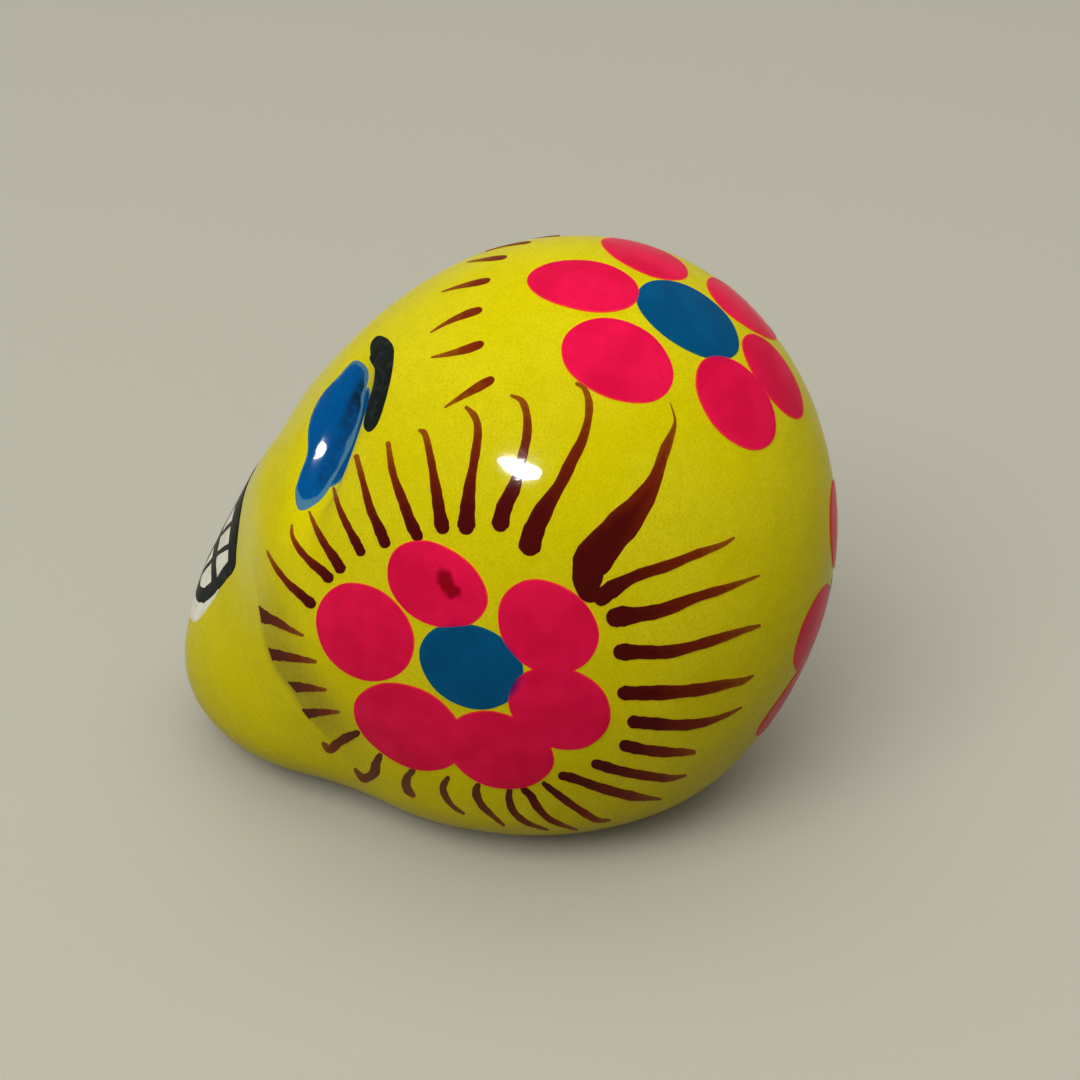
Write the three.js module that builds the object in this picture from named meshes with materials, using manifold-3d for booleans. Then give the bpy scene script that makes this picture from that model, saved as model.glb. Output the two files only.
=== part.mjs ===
// A small hand-painted clay skull, hollow, under raised daubs of enamel.
// Millimetres: the face looks along -Y, the skull's left side is +X, and its foot rests on Z = 0.
import * as THREE from "three";
import { mergeVertices } from "three/addons/utils/BufferGeometryUtils.js";
import Module from "manifold-3d";

const wasm = await Module();
wasm.setup();

// Cranium: half sizes, the middle's place and its backward lean
const craniumHalfWidth = 24.6;
const craniumHalfLength = 27.5;
const craniumHalfHeight = 34.6;
const craniumY = 4.8;
const craniumZ = 23.85;
const craniumLeanAngle = -0.34;

// Snout and jaw: half sizes, the middle's place and its forward lean
const snoutHalfWidth = 18.8;
const snoutHalfLength = 24.5;
const snoutHalfHeight = 18;
const snoutY = -11.35;
const snoutZ = 14.8;
const snoutLeanAngle = 0.73;

// Where the two masses meet: a tight crease beside the jaw opens to a soft brow
const jawBlend = 3.4;
const browBlend = 10.6;
const jawBlendZ = 9.2;
const browBlendZ = 31.2;

// Slight swellings of the brow, the gums and both sides of the chin: how far they stand out, spread and where
const browSwell = 0.65;
const browSwellReach = 6.5;
const browSwellY = -19.5;
const browSwellZ = 39.5;
const gumSwell = 0.55;
const gumSwellReach = 4;
const gumSwellY = -31;
const gumSwellZ = 21.5;
const chinSwell = 0.4;
const chinSwellReach = 4;
const chinSwellX = 6.8;
const chinSwellY = -32.5;
const chinSwellZ = 9;

// Foot: how far the rounded underside would reach below the ground-off flat, and its rounding
const footGrind = 0.8;
const footRounding = 8.5;

// Clay shell: wall, the plane where the two pressed halves meet, and the line of slip between them
const wall = 3.2;
const seamY = 2;
const seamGap = 0.2;
const coreZ = 24;

// How deep under the surface the charts for painting have their core
const chartDepth = 24;

// Kiln vent through the foot
const ventRadius = 3.2;
const ventY = 9;
const cutOverrun = 2;

// Enamel: clearance under a daub, its thickness, and the bare line between neighbours
const daubClearance = 0.15;
const daubThickness = 0.25;
const daubSpacing = 0.3;

// Eyes: the place aimed at, and the enamel that lines a socket and rolls a little over its edge
const eyeX = 12;
const eyeY = -13;
const eyeZ = 41.4;
const eyeHalfLength = 7.6;
const eyeHalfWidth = 4.2;
const eyeLeanAngle = 0.3;
const eyeTaperShare = 0.36;
const eyeRoll = 0.9;
const eyeClearance = 0.3;

// Sockets: how deep and at what lean the tool is pressed in, and the rounding of the edge
const socketDepth = 2.9;
const socketLeanAngle = 0.1;
const socketRim = 1.8;

// Brow: a short thick stroke above each eye, given from the eye's middle
const browHalfWidth = 1.4;
const browReach = 8.4;
const browRiseShares = [1.22, 1.16, 1.01, 0.77, 0.45];
const browAcrossShares = [-0.36, -0.06, 0.26, 0.46, 0.62];
const browWidthShares = [0.75, 1.1, 1, 0.85, 0.6];

// Nose: a shallow pressed hollow with a painted floor
const noseY = -20.5;
const noseZ = 35;
const noseHalfWidth = 2.7;
const noseHalfHeight = 3.1;
const noseDepth = 0.9;
const noseRim = 1;
const noseMargin = 0.5;
const noseNotchShare = 0.3;
const noseTaperShare = 0.3;
const noseLobePower = 8;

// Mouth: a band of painted teeth round the snout
const mouthCoreY = -14;
const mouthCoreZ = 20;
const mouthY = -28.95;
const mouthZ = 22.3;
const mouthTopRise = 8.7;
const mouthTopHalfWidth = 13.5;
const mouthCornerDrop = 4.4;
const mouthMiddleDrop = 0.9;
const mouthMiddleHalfWidth = 10.4;
const mouthFloorDrop = 6;
const mouthFloorHalfWidth = 7.5;
const mouthFloorLift = 1.3;
const mouthGround = 1.4;
const mouthBowPower = 3;
const teethPerRow = 8;

// Widths of the mouth's lines: upper lip, outer edge, the bar between the rows and those between teeth
const lipLineWidth = 2.3;
const edgeLineWidth = 1.3;
const barLineWidth = 1.6;
const toothLineWidth = 0.6;

// Flowers: the place each is painted at, its ring and its daubs
const petalDistance = 10;
const petalHalfLength = 5;
const petalHalfWidth = 4;
const sideFlowerX = 24.4;
const sideFlowerY = 4.9;
const sideFlowerZ = 27.2;
const crownFlowerX = 3.7;
const crownFlowerY = 19.6;
const crownFlowerZ = 54.6;
const backFlowerX = -5.5;
const backFlowerY = 32;
const backFlowerZ = 21.5;

// Each daub, centre last: its bearing and turn in degrees, with its distance, length and width as shares
const sideDaubShares = [
  { bearing: 117, out: 0.82, long: 1.03, wide: 0.97, turn: -11 },
  { bearing: 35, out: 0.84, long: 0.99, wide: 1.04, turn: -44 },
  { bearing: -24, out: 0.9, long: 1.03, wide: 1.09, turn: -50 },
  { bearing: -75, out: 0.96, long: 1.03, wide: 1.2, turn: -30 },
  { bearing: -127, out: 1.06, long: 1.14, wide: 1.28, turn: 8 },
  { bearing: 177, out: 1.09, long: 1.1, wide: 1.23, turn: 31 },
  { bearing: 0, out: 0, long: 1.02, wide: 1.11, turn: -3 },
];
const crownDaubShares = [
  { bearing: 91, out: 1.03, long: 1.07, wide: 0.9, turn: 85 },
  { bearing: 148, out: 0.88, long: 1.09, wide: 0.99, turn: 86 },
  { bearing: -124, out: 0.89, long: 1.03, wide: 0.94, turn: 86 },
  { bearing: -81, out: 1.05, long: 0.99, wide: 0.89, turn: 87 },
  { bearing: -32, out: 1.02, long: 1.09, wide: 1.09, turn: -42 },
  { bearing: 37, out: 0.98, long: 1.02, wide: 1, turn: 46 },
  { bearing: 0, out: 0.03, long: 1.09, wide: 1, turn: 86 },
];
const backDaubShares = [
  { bearing: 174, out: 0.86, long: 0.95, wide: 1.1, turn: 20 },
  { bearing: -140, out: 1.15, long: 1, wide: 1.05, turn: 40 },
  { bearing: 101, out: 1.04, long: 1, wide: 0.97, turn: -64 },
  { bearing: 55, out: 0.98, long: 1, wide: 1, turn: 50 },
  { bearing: 0, out: 1, long: 0.98, wide: 1.02, turn: 5 },
  { bearing: -78, out: 1, long: 1, wide: 0.98, turn: -70 },
  { bearing: 0, out: 0, long: 1, wide: 1, turn: 0 },
];

// Facet counts
const spokes = 60;
const faceRings = 22;
const backRings = 12;
const daubSides = 14;
const daubRings = 2;
const eyeSides = 20;
const eyeRings = 4;
const browSteps = 12;
const groundColumns = 12;
const groundRows = 7;
const toothSteps = 2;
const ventSides = 24;
const surfaceSteps = 40;
const slopeShare = 0.01;

// Colours and finish
const paint = {
  yellow: { color: 0xc9bb05, roughness: 0.25 },
  pink: { color: 0xdc1a50, roughness: 0.28 },
  blue: { color: 0x07557f, roughness: 0.22 },
  black: { color: 0x1b2321, roughness: 0.35 },
  white: { color: 0xdad5b8, roughness: 0.3 },
};

const skull = new THREE.Group();
const degree = Math.PI / 180;
const quarterTurn = Math.PI / 2;
const fullTurn = 2 * Math.PI;

// Signed measure to an ellipsoid leaned about X: negative inside, and near to a distance at its skin
function ellipsoidMeasure(p, centre, half, lean) {
  const y = p.y - centre.y;
  const z = p.z - centre.z;
  const q = new THREE.Vector3(
    p.x - centre.x,
    y * Math.cos(lean) + z * Math.sin(lean),
    z * Math.cos(lean) - y * Math.sin(lean),
  );
  return unitMeasure(q, half);
}

function unitMeasure(q, half) {
  const near = q.clone().divide(half);
  const steep = near.clone().divide(half);
  const k = near.length();
  return (k * (k - 1)) / Math.max(steep.length(), Number.EPSILON);
}

function smoothMin(a, b, blend) {
  const h = Math.max(blend - Math.abs(a - b), 0) / blend;
  return Math.min(a, b) - (h * h * blend) / 4;
}

function smoothMax(a, b, blend) {
  return -smoothMin(-a, -b, blend);
}

const craniumCentre = new THREE.Vector3(0, craniumY, craniumZ);
const craniumHalf = new THREE.Vector3(craniumHalfWidth, craniumHalfLength, craniumHalfHeight);
const snoutCentre = new THREE.Vector3(0, snoutY, snoutZ);
const snoutHalf = new THREE.Vector3(snoutHalfWidth, snoutHalfLength, snoutHalfHeight);

// How far the clay swells out at a place
const swells = [
  { height: browSwell, reach: browSwellReach, middle: new THREE.Vector3(0, browSwellY, browSwellZ) },
  { height: gumSwell, reach: gumSwellReach, middle: new THREE.Vector3(0, gumSwellY, gumSwellZ) },
  ...[-chinSwellX, chinSwellX].map((x) => {
    return { height: chinSwell, reach: chinSwellReach, middle: new THREE.Vector3(x, chinSwellY, chinSwellZ) };
  }),
];

function swelling(p) {
  const fade = ({ reach, middle }) => Math.exp(-p.distanceToSquared(middle) / (2 * reach * reach));
  return swells.reduce((sum, swell) => sum + swell.height * fade(swell), 0);
}

// The skull before its sockets are pressed in
function smoothSkull(p) {
  const cranium = ellipsoidMeasure(p, craniumCentre, craniumHalf, craniumLeanAngle);
  const snout = ellipsoidMeasure(p, snoutCentre, snoutHalf, snoutLeanAngle);
  const rise = THREE.MathUtils.smoothstep(p.z, jawBlendZ, browBlendZ);
  const blended = smoothMin(cranium, snout, THREE.MathUtils.lerp(jawBlend, browBlend, rise));
  return smoothMax(blended - swelling(p), -p.z - footGrind, footRounding);
}

// The finished skull, with hollows pressed in and the foot ground flat
const hollows = [];

function skullForm(p) {
  let measure = smoothSkull(p);
  for (const hollow of hollows) {
    const mirrored = new THREE.Vector3(Math.abs(p.x), p.y, p.z);
    measure = smoothMax(measure, -hollow.measure(mirrored), hollow.rim);
  }
  return Math.max(measure, -p.z);
}

// Point where a ray from inside the clay reaches a level of the form
function surfaceAlong(core, direction, level = 0) {
  let near = 0;
  let far = craniumHalfLength + craniumHalfHeight + snoutHalfLength;
  const p = new THREE.Vector3();
  for (let step = 0; step < surfaceSteps; step += 1) {
    const middle = (near + far) / 2;
    p.copy(core).addScaledVector(direction, middle);
    if (skullForm(p) < level) near = middle;
    else far = middle;
  }
  p.copy(core).addScaledVector(direction, far);
  return p;
}

function outwardNormal(p) {
  const step = wall * slopeShare;
  const slope = ["x", "y", "z"].map((axis) => {
    const ahead = p.clone();
    const behind = p.clone();
    ahead[axis] += step;
    behind[axis] -= step;
    return skullForm(ahead) - skullForm(behind);
  });
  return new THREE.Vector3(...slope).normalize();
}

// A chart lays flat measures from an anchor on the skull over its curved surface
class Chart {
  constructor(core, anchor, axis, upward) {
    this.core = core;
    this.reach = anchor.distanceTo(core);
    this.axis = axis;
    this.up = upward.clone().addScaledVector(axis, -upward.dot(axis)).normalize();
    this.across = this.up.clone().cross(axis);
  }

  point(across, up, height) {
    const span = Math.hypot(across, up);
    const angle = span / this.reach;
    const direction = this.axis.clone().multiplyScalar(Math.cos(angle));
    if (span > 0) {
      const scale = Math.sin(angle) / span;
      direction.addScaledVector(this.across, across * scale).addScaledVector(this.up, up * scale);
    }
    const p = surfaceAlong(this.core, direction);
    return p.addScaledVector(outwardNormal(p), height);
  }
}

// A chart whose core lies straight under the surface, at the place aimed at from the skull's middle
function chartTowards(aim, upward) {
  const middle = new THREE.Vector3(0, seamY, coreZ);
  const anchor = surfaceAlong(middle, aim.clone().sub(middle).normalize());
  const axis = outwardNormal(anchor);
  return new Chart(anchor.clone().addScaledVector(axis, -chartDepth), anchor, axis, upward);
}

function signedVolume(points, faces) {
  return faces.reduce((sum, [a, b, c]) => sum + points[a].dot(points[b].clone().cross(points[c])), 0);
}

// Closed geometry with its faces turned outward
function closedGeometry(points, faces) {
  const inward = signedVolume(points, faces) < 0;
  const geometry = new THREE.BufferGeometry();
  geometry.setAttribute("position", new THREE.Float32BufferAttribute(points.flatMap((p) => p.toArray()), 3));
  geometry.setIndex(faces.flatMap(([a, b, c]) => (inward ? [a, c, b] : [a, b, c])));
  geometry.computeVertexNormals();
  return geometry;
}

// Two triangles over four corners
function quad(a, b, c, d) {
  return [[a, b, c], [a, c, d]];
}

// Edges that only one face of a pattern uses
function openEdges(faces) {
  const edges = faces.flatMap(([a, b, c]) => [[a, b], [b, c], [c, a]]);
  const used = new Set(edges.map(([a, b]) => `${a} ${b}`));
  return edges.filter(([a, b]) => !used.has(`${b} ${a}`));
}

// Plate: a flat pattern laid over the skull at two levels and closed round its edges
function plate(pattern, upper, lower) {
  const count = pattern.points.length;
  const points = [...pattern.points.map(upper), ...pattern.points.map(lower)];
  const under = pattern.faces.map(([a, b, c]) => [a + count, c + count, b + count]);
  const sides = openEdges(pattern.faces).flatMap(([a, b]) => quad(b, a, a + count, b + count));
  return closedGeometry(points, [...pattern.faces, ...under, ...sides]);
}

// Pattern of rings shrunk from a closed outline to its middle
function discPattern(outline, rings) {
  const points = [new THREE.Vector2(0, 0)];
  const faces = [];
  const sides = outline.length;
  for (let ring = 1; ring <= rings; ring += 1) {
    points.push(...outline.map((p) => p.clone().multiplyScalar(ring / rings)));
    const to = points.length - sides;
    for (let i = 0; i < sides; i += 1) {
      const next = (i + 1) % sides;
      if (ring === 1) faces.push([0, to + i, to + next]);
      else faces.push(...quad(to - sides + next, to - sides + i, to + i, to + next));
    }
  }
  return { points, faces };
}

// Pattern of four-sided cells between the given columns and rows, less the cells that stay open
function gridPattern(columns, rows, place, solid = () => true) {
  const points = rows.flatMap((row) => columns.map((column) => place(column, row)));
  const faces = [];
  for (let j = 0; j + 1 < rows.length; j += 1) {
    for (let i = 0; i + 1 < columns.length; i += 1) {
      const a = j * columns.length + i;
      if (solid(i, j)) faces.push(...quad(a, a + 1, a + 1 + columns.length, a + columns.length));
    }
  }
  return usedPattern(points, faces);
}

// Drops the points that no face uses
function usedPattern(points, faces) {
  const used = [...new Set(faces.flat())];
  const place = new Map(used.map((old, now) => [old, now]));
  return { points: used.map((i) => points[i]), faces: faces.map((face) => face.map((i) => place.get(i))) };
}

function evenSteps(from, to, steps) {
  return Array.from({ length: steps + 1 }, (_, i) => from + ((to - from) * i) / steps);
}

function roundOutline(sides, at) {
  return Array.from({ length: sides }, (_, i) => at((i / sides) * fullTurn));
}

function mirroredGeometry(geometry) {
  const copy = geometry.clone().scale(-1, 1, 1);
  const index = copy.getIndex();
  for (let i = 0; i < index.count; i += 3) {
    const second = index.getX(i + 1);
    index.setX(i + 1, index.getX(i + 2));
    index.setX(i + 2, second);
  }
  copy.computeVertexNormals();
  return copy;
}

function add(name, geometry, finish) {
  const mesh = new THREE.Mesh(geometry, new THREE.MeshStandardMaterial({ ...finish, metalness: 0 }));
  mesh.name = name;
  skull.add(mesh);
}

function addPair(name, geometry, finish) {
  add(`left_${name}`, geometry, finish);
  add(`right_${name}`, mirroredGeometry(geometry), finish);
}

// Paint laid on a chart, a clearance above what it covers
function daub(chart, pattern, level = daubClearance) {
  const upper = (p) => chart.point(p.x, p.y, level + daubThickness);
  const lower = (p) => chart.point(p.x, p.y, level);
  return plate(pattern, upper, lower);
}

// One pressed half of the shell, from its pole to the flat rim where the halves meet
function shellHalf(side, rings) {
  const core = new THREE.Vector3(0, seamY + (side * seamGap) / 2, coreZ);
  const skin = (level) => (p) => {
    const polar = p.length() * quarterTurn;
    const spread = Math.sin(polar) / Math.max(p.length(), Number.EPSILON);
    const direction = new THREE.Vector3(p.x * spread, side * Math.cos(polar), p.y * spread);
    return surfaceAlong(core, direction, level);
  };
  const circle = roundOutline(spokes, (turn) => new THREE.Vector2(Math.cos(turn), Math.sin(turn)));
  return plate(discPattern(circle, rings), skin(0), skin(-wall));
}

function toSolid(geometry) {
  return new wasm.Manifold(new wasm.Mesh({
    numProp: 3,
    vertProperties: new Float32Array(geometry.getAttribute("position").array),
    triVerts: new Uint32Array(geometry.getIndex().array),
  }));
}

function fromSolid(solid) {
  const mesh = solid.getMesh();
  const geometry = new THREE.BufferGeometry();
  geometry.setAttribute("position", new THREE.BufferAttribute(mesh.vertProperties, 3));
  geometry.setIndex(new THREE.BufferAttribute(mesh.triVerts, 1));
  geometry.computeVertexNormals();
  return geometry;
}

// Round hole through the foot that lets the kiln's heat and steam out of the hollow
function vented(geometry) {
  const drill = new THREE.CylinderGeometry(ventRadius, ventRadius, wall + 2 * cutOverrun, ventSides);
  drill.rotateX(quarterTurn).translate(0, ventY, wall / 2);
  const plain = mergeVertices(drill.deleteAttribute("normal").deleteAttribute("uv"));
  return fromSolid(toSolid(geometry).subtract(toSolid(plain)));
}

// Egg-shaped outline of a socket, wider above, leaned in towards the brow
function eyeOutline() {
  return roundOutline(eyeSides, (turn) => {
    const up = Math.cos(turn) * eyeHalfLength;
    const across = -Math.sin(turn) * eyeHalfWidth * (1 + eyeTaperShare * Math.cos(turn));
    return new THREE.Vector2(across, up).rotateAround(new THREE.Vector2(), eyeLeanAngle);
  });
}

// Hollow pressed by a rounded tool: an ellipsoid whose middle lies on the chart's anchor
function hollowAt(chart, half, lean, rim) {
  const anchor = chart.core.clone().addScaledVector(chart.axis, chart.reach);
  const measure = (p) => {
    const from = p.clone().sub(anchor);
    const flat = new THREE.Vector2(from.dot(chart.across), from.dot(chart.up));
    flat.rotateAround(new THREE.Vector2(), -lean);
    return unitMeasure(new THREE.Vector3(flat.x, flat.y, from.dot(chart.axis)), half);
  };
  return { measure, rim };
}

// Brow: a stroke that thins to its ends and runs over the outer edge of the eye
function browPattern() {
  const at = (shares, t) => {
    const place = t * (shares.length - 1);
    const i = Math.min(Math.floor(place), shares.length - 2);
    return THREE.MathUtils.lerp(shares[i], shares[i + 1], place - i);
  };
  const spine = (t) => {
    const share = new THREE.Vector2(at(browAcrossShares, t), at(browRiseShares, t));
    return share.multiplyScalar(browReach);
  };
  const place = (side, t) => {
    const step = 1 / browSteps;
    const along = spine(Math.min(t + step, 1)).sub(spine(Math.max(t - step, 0))).normalize();
    const out = side * browHalfWidth * at(browWidthShares, t);
    return spine(t).add(new THREE.Vector2(-along.y, along.x).multiplyScalar(out));
  };
  return gridPattern([-1, 0, 1], evenSteps(0, 1, browSteps), place);
}

// Nose: a rounded triangle with two lobes below
function noseOutline() {
  return roundOutline(eyeSides, (turn) => {
    const notch = 1 - noseNotchShare * Math.max(0, -Math.cos(turn)) ** noseLobePower;
    const across = -Math.sin(turn) * noseHalfWidth * (1 - noseTaperShare * Math.cos(turn));
    return new THREE.Vector2(across, Math.cos(turn) * noseHalfHeight * notch);
  });
}

// A place in the mouth: across from -1 to 1, and down from 0 at the upper lip to 1 at the lower
function mouthPlace(across, down) {
  const bow = Math.abs(across) ** mouthBowPower;
  const upper = [mouthTopHalfWidth, mouthTopRise - mouthCornerDrop * bow];
  const middle = [mouthMiddleHalfWidth, -mouthMiddleDrop];
  const lower = [mouthFloorHalfWidth, mouthFloorLift * bow - mouthFloorDrop];
  const [from, to, part] = down < 0.5 ? [upper, middle, 2 * down] : [middle, lower, 2 * down - 1];
  const halfWidth = THREE.MathUtils.lerp(from[0], to[0], part);
  return new THREE.Vector2(across * halfWidth, THREE.MathUtils.lerp(from[1], to[1], part));
}

// The drawn lines of both rows of teeth, as one net
function toothLinePattern() {
  const upperSpan = 2 * (mouthTopRise + mouthMiddleDrop);
  const lowerSpan = 2 * (mouthFloorDrop - mouthMiddleDrop);
  const split = [
    0,
    ...evenSteps(lipLineWidth / upperSpan, 0.5 - barLineWidth / 2 / upperSpan, toothSteps),
    ...evenSteps(0.5 + barLineWidth / 2 / lowerSpan, 1 - edgeLineWidth / lowerSpan, toothSteps),
    1,
  ];
  const edge = edgeLineWidth / mouthMiddleHalfWidth;
  const halfBar = toothLineWidth / mouthMiddleHalfWidth / 2;
  const bars = evenSteps(edge - 1, 1 - edge, teethPerRow).slice(1, -1);
  const columns = [-1, edge - 1, ...bars.flatMap((bar) => [bar - halfBar, bar + halfBar]), 1 - edge, 1];
  const isLineRow = (j) => [0, toothSteps + 1, split.length - 2].includes(j);
  return gridPattern(columns, split, mouthPlace, (i, j) => i % 2 === 0 || isLineRow(j));
}

function teethGroundPattern() {
  const below = mouthGround / (mouthTopRise + mouthFloorDrop);
  const beside = 1 + mouthGround / mouthTopHalfWidth / 2;
  const columns = evenSteps(-beside, beside, groundColumns);
  return gridPattern(columns, evenSteps(0, 1 + below, groundRows), mouthPlace);
}

// Flower daubs: ellipses laid out from their shares, then trimmed along a line between neighbours
function daubFromShares(shares) {
  const turn = shares.bearing * degree;
  const out = shares.out * petalDistance;
  return {
    place: new THREE.Vector2(out * Math.cos(turn), out * Math.sin(turn)),
    half: new THREE.Vector2(shares.long * petalHalfLength, shares.wide * petalHalfWidth),
    turn: shares.turn * degree,
  };
}

// How far an ellipse reaches from its middle at a bearing
function ellipseReach({ half, turn }, bearing) {
  const t = bearing - turn;
  return 1 / Math.hypot(Math.cos(t) / half.x, Math.sin(t) / half.y);
}

function trimmedReach(own, others, bearing) {
  let reach = ellipseReach(own, bearing);
  for (const other of others) {
    const between = other.place.clone().sub(own.place);
    const towards = between.angle();
    const ownReach = ellipseReach(own, towards);
    const otherReach = ellipseReach(other, towards);
    const free = between.length() - daubSpacing - ownReach - otherReach;
    const line = ownReach + (free * ownReach) / (ownReach + otherReach);
    const facing = Math.cos(bearing - towards);
    if (facing > 0) reach = Math.min(reach, line / facing);
  }
  return reach;
}

function flower(chart, shares) {
  const daubs = shares.map(daubFromShares);
  return daubs.map((own) => {
    const others = daubs.filter((other) => other !== own);
    const outline = roundOutline(daubSides, (bearing) => {
      const reach = trimmedReach(own, others, bearing);
      return new THREE.Vector2(reach * Math.cos(bearing), reach * Math.sin(bearing));
    });
    const pattern = discPattern(outline, daubRings);
    pattern.points.forEach((p) => p.add(own.place));
    return daub(chart, pattern);
  });
}

function addFlower(name, geometries, addOne) {
  geometries.forEach((geometry, i) => {
    const centre = i === geometries.length - 1;
    addOne(centre ? `${name}_centre` : `${name}_petal_${i + 1}`, geometry, centre ? paint.blue : paint.pink);
  });
}

const upwards = new THREE.Vector3(0, 0, 1);
const forwards = new THREE.Vector3(0, -1, 0);
const eyeChart = chartTowards(new THREE.Vector3(eyeX, eyeY, eyeZ), upwards);
const noseChart = chartTowards(new THREE.Vector3(0, noseY, noseZ), upwards);
const eyePress = new THREE.Vector3(eyeHalfWidth - eyeRoll, eyeHalfLength - eyeRoll, socketDepth);
const nosePress = new THREE.Vector3(noseHalfWidth + noseMargin, noseHalfHeight + noseMargin, noseDepth);
hollows.push(hollowAt(eyeChart, eyePress, socketLeanAngle, socketRim));
hollows.push(hollowAt(noseChart, nosePress, 0, noseRim));

add("face_half", shellHalf(-1, faceRings), paint.yellow);
add("back_half", vented(shellHalf(1, backRings)), paint.yellow);

addPair("eye_enamel", daub(eyeChart, discPattern(eyeOutline(), eyeRings), eyeClearance), paint.blue);
addPair("brow", daub(eyeChart, browPattern()), paint.black);
add("nose_enamel", daub(noseChart, discPattern(noseOutline(), eyeRings)), paint.black);

const mouthCore = new THREE.Vector3(0, mouthCoreY, mouthCoreZ);
const mouthAxis = new THREE.Vector3(0, mouthY, mouthZ).sub(mouthCore).normalize();
const mouthChart = new Chart(mouthCore, surfaceAlong(mouthCore, mouthAxis), mouthAxis, upwards);
add("teeth_ground", daub(mouthChart, teethGroundPattern()), paint.white);
const lineLevel = 2 * daubClearance + daubThickness;
add("tooth_lines", daub(mouthChart, toothLinePattern(), lineLevel), paint.black);

const sidePlace = new THREE.Vector3(sideFlowerX, sideFlowerY, sideFlowerZ);
const crownPlace = new THREE.Vector3(crownFlowerX, crownFlowerY, crownFlowerZ);
const backPlace = new THREE.Vector3(backFlowerX, backFlowerY, backFlowerZ);
addFlower("side_flower", flower(chartTowards(sidePlace, upwards), sideDaubShares), addPair);
addFlower("crown_flower", flower(chartTowards(crownPlace, forwards), crownDaubShares), add);
addFlower("back_flower", flower(chartTowards(backPlace, upwards), backDaubShares), add);

export default skull;
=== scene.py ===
import math

import bpy
import numpy as np
from mathutils import Matrix, Vector


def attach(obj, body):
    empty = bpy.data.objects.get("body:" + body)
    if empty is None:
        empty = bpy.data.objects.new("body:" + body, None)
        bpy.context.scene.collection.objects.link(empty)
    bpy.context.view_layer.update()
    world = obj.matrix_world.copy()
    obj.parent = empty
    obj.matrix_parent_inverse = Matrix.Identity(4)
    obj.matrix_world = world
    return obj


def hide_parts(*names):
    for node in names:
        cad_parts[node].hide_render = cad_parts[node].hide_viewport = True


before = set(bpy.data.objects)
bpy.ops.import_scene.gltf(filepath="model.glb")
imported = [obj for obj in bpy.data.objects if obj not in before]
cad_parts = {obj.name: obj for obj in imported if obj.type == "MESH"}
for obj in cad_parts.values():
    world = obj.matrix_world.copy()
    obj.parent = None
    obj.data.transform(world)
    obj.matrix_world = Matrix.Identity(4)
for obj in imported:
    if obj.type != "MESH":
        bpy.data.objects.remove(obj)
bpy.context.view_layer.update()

# Sizes are in millimetres and pixels are those of the 1080 x 1080 photograph, unless a name says otherwise.
MM = 0.001

# The shell: cranium, snout and jaw as two leaned masses, with the foot ground flat
CRANIUM_HALF = (24.6, 27.5, 34.6)
CRANIUM_MIDDLE = (0, 4.8, 23.85)
CRANIUM_LEAN = -0.34
SNOUT_HALF = (18.8, 24.5, 18.0)
SNOUT_MIDDLE = (0, -11.35, 14.8)
SNOUT_LEAN = 0.73
JAW_BLEND, BROW_BLEND = 3.4, 10.6
JAW_BLEND_Z, BROW_BLEND_Z = 9.2, 31.2
FOOT_GRIND, FOOT_ROUNDING = 0.8, 8.5
WALL = 3.2
CORE = np.array((0, 2.0, 24.0))
VENT_RADIUS, VENT_Y, VENT_FLARE = 3.2, 9.0, 0.5
CHART_DEPTH = 24.0
# Slight swellings of the brow, the gums, the chin's two sides and the rear: height, reach and middle
SWELLINGS = (
    (0.65, 6.5, (0, -19.5, 39.5)),
    (0.3, 4.0, (0, -31, 21.5)),
    (0.4, 4.0, (6.8, -32.5, 9)),
    (0.4, 4.0, (-6.8, -32.5, 9)),
    (0.3, 9.0, (8, 32.5, 26)),
    (0.3, 9.0, (-8, 32.5, 26)),
)

# Where the crease beside the jaw is darkened, partly pooled enamel and partly painted shade: the line it
# starts at in pixels, with its strength there
CREASE_PX = (
    (255, 585, 0.3), (259, 606, 0.6), (262, 630, 0.8), (272, 664, 1), (290, 690, 1), (306, 714, 1),
    (320, 730, 0.7), (338, 750, 0.15),
)
CREASE_STEP, CREASE_LEVEL, CREASE_END = 0.5, 1.8, 6.5
# Where the yellow beside the mouth is pale, partly thin enamel and partly a painted reflection where the
# snout turns away: its middle in pixels, with its strength there
PALE_PX = (
    (341, 352, 0.3), (318, 384, 0.45), (303, 406, 0.5), (274, 437, 0.7), (252, 480, 0.95),
    (246, 513, 0.95), (246, 545, 0.85), (249, 575, 0.6), (254, 604, 0.3),
)
PALE_REACH = 4.6

# Middle of the flower on each side
SIDE_AIM = (24.4, 4.9, 27.2)

# Hollows pressed in for the eyes and the nose
EYE_AIM = (12, -13, 41.4)
EYE_HOLLOW = {"half": (2.77, 7.96, 2.61), "lean": 0.2, "rim": 2.73, "aside": (0.69, -0.6)}
NOSE_AIM = (0, -20.5, 35)
NOSE_HOLLOW = {"half": (3.2, 3.6, 0.9), "lean": 0.0, "rim": 1.0, "aside": (0, 0)}

# Unevenness that hands leave in pressed clay: each wave's height, its turns per mm and its shifts
RIPPLE_WAVES = ((0.075, (0.31, 0.27, 0.29), (0.5, 2.1)), (0.025, (0.83, 0.71, 0.77), (1.9, 0.2)))

# Camera, solved from the outline: angles in degrees, distance, and focal length in pixels
CAMERA_ELEVATION, CAMERA_TURN = 32.28, 16.26
CAMERA_DISTANCE = 240.0
CAMERA_TARGET = np.array((0, 1.24, 24.2))
CAMERA_ASIDE, CAMERA_RAISE = 3.01, 1.02
FOCAL_PX, FRAME_PX = 2400.0, 1080
SENSOR = 36.0
CLIP_NEAR_M, CLIP_FAR_M = 0.01, 20

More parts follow.
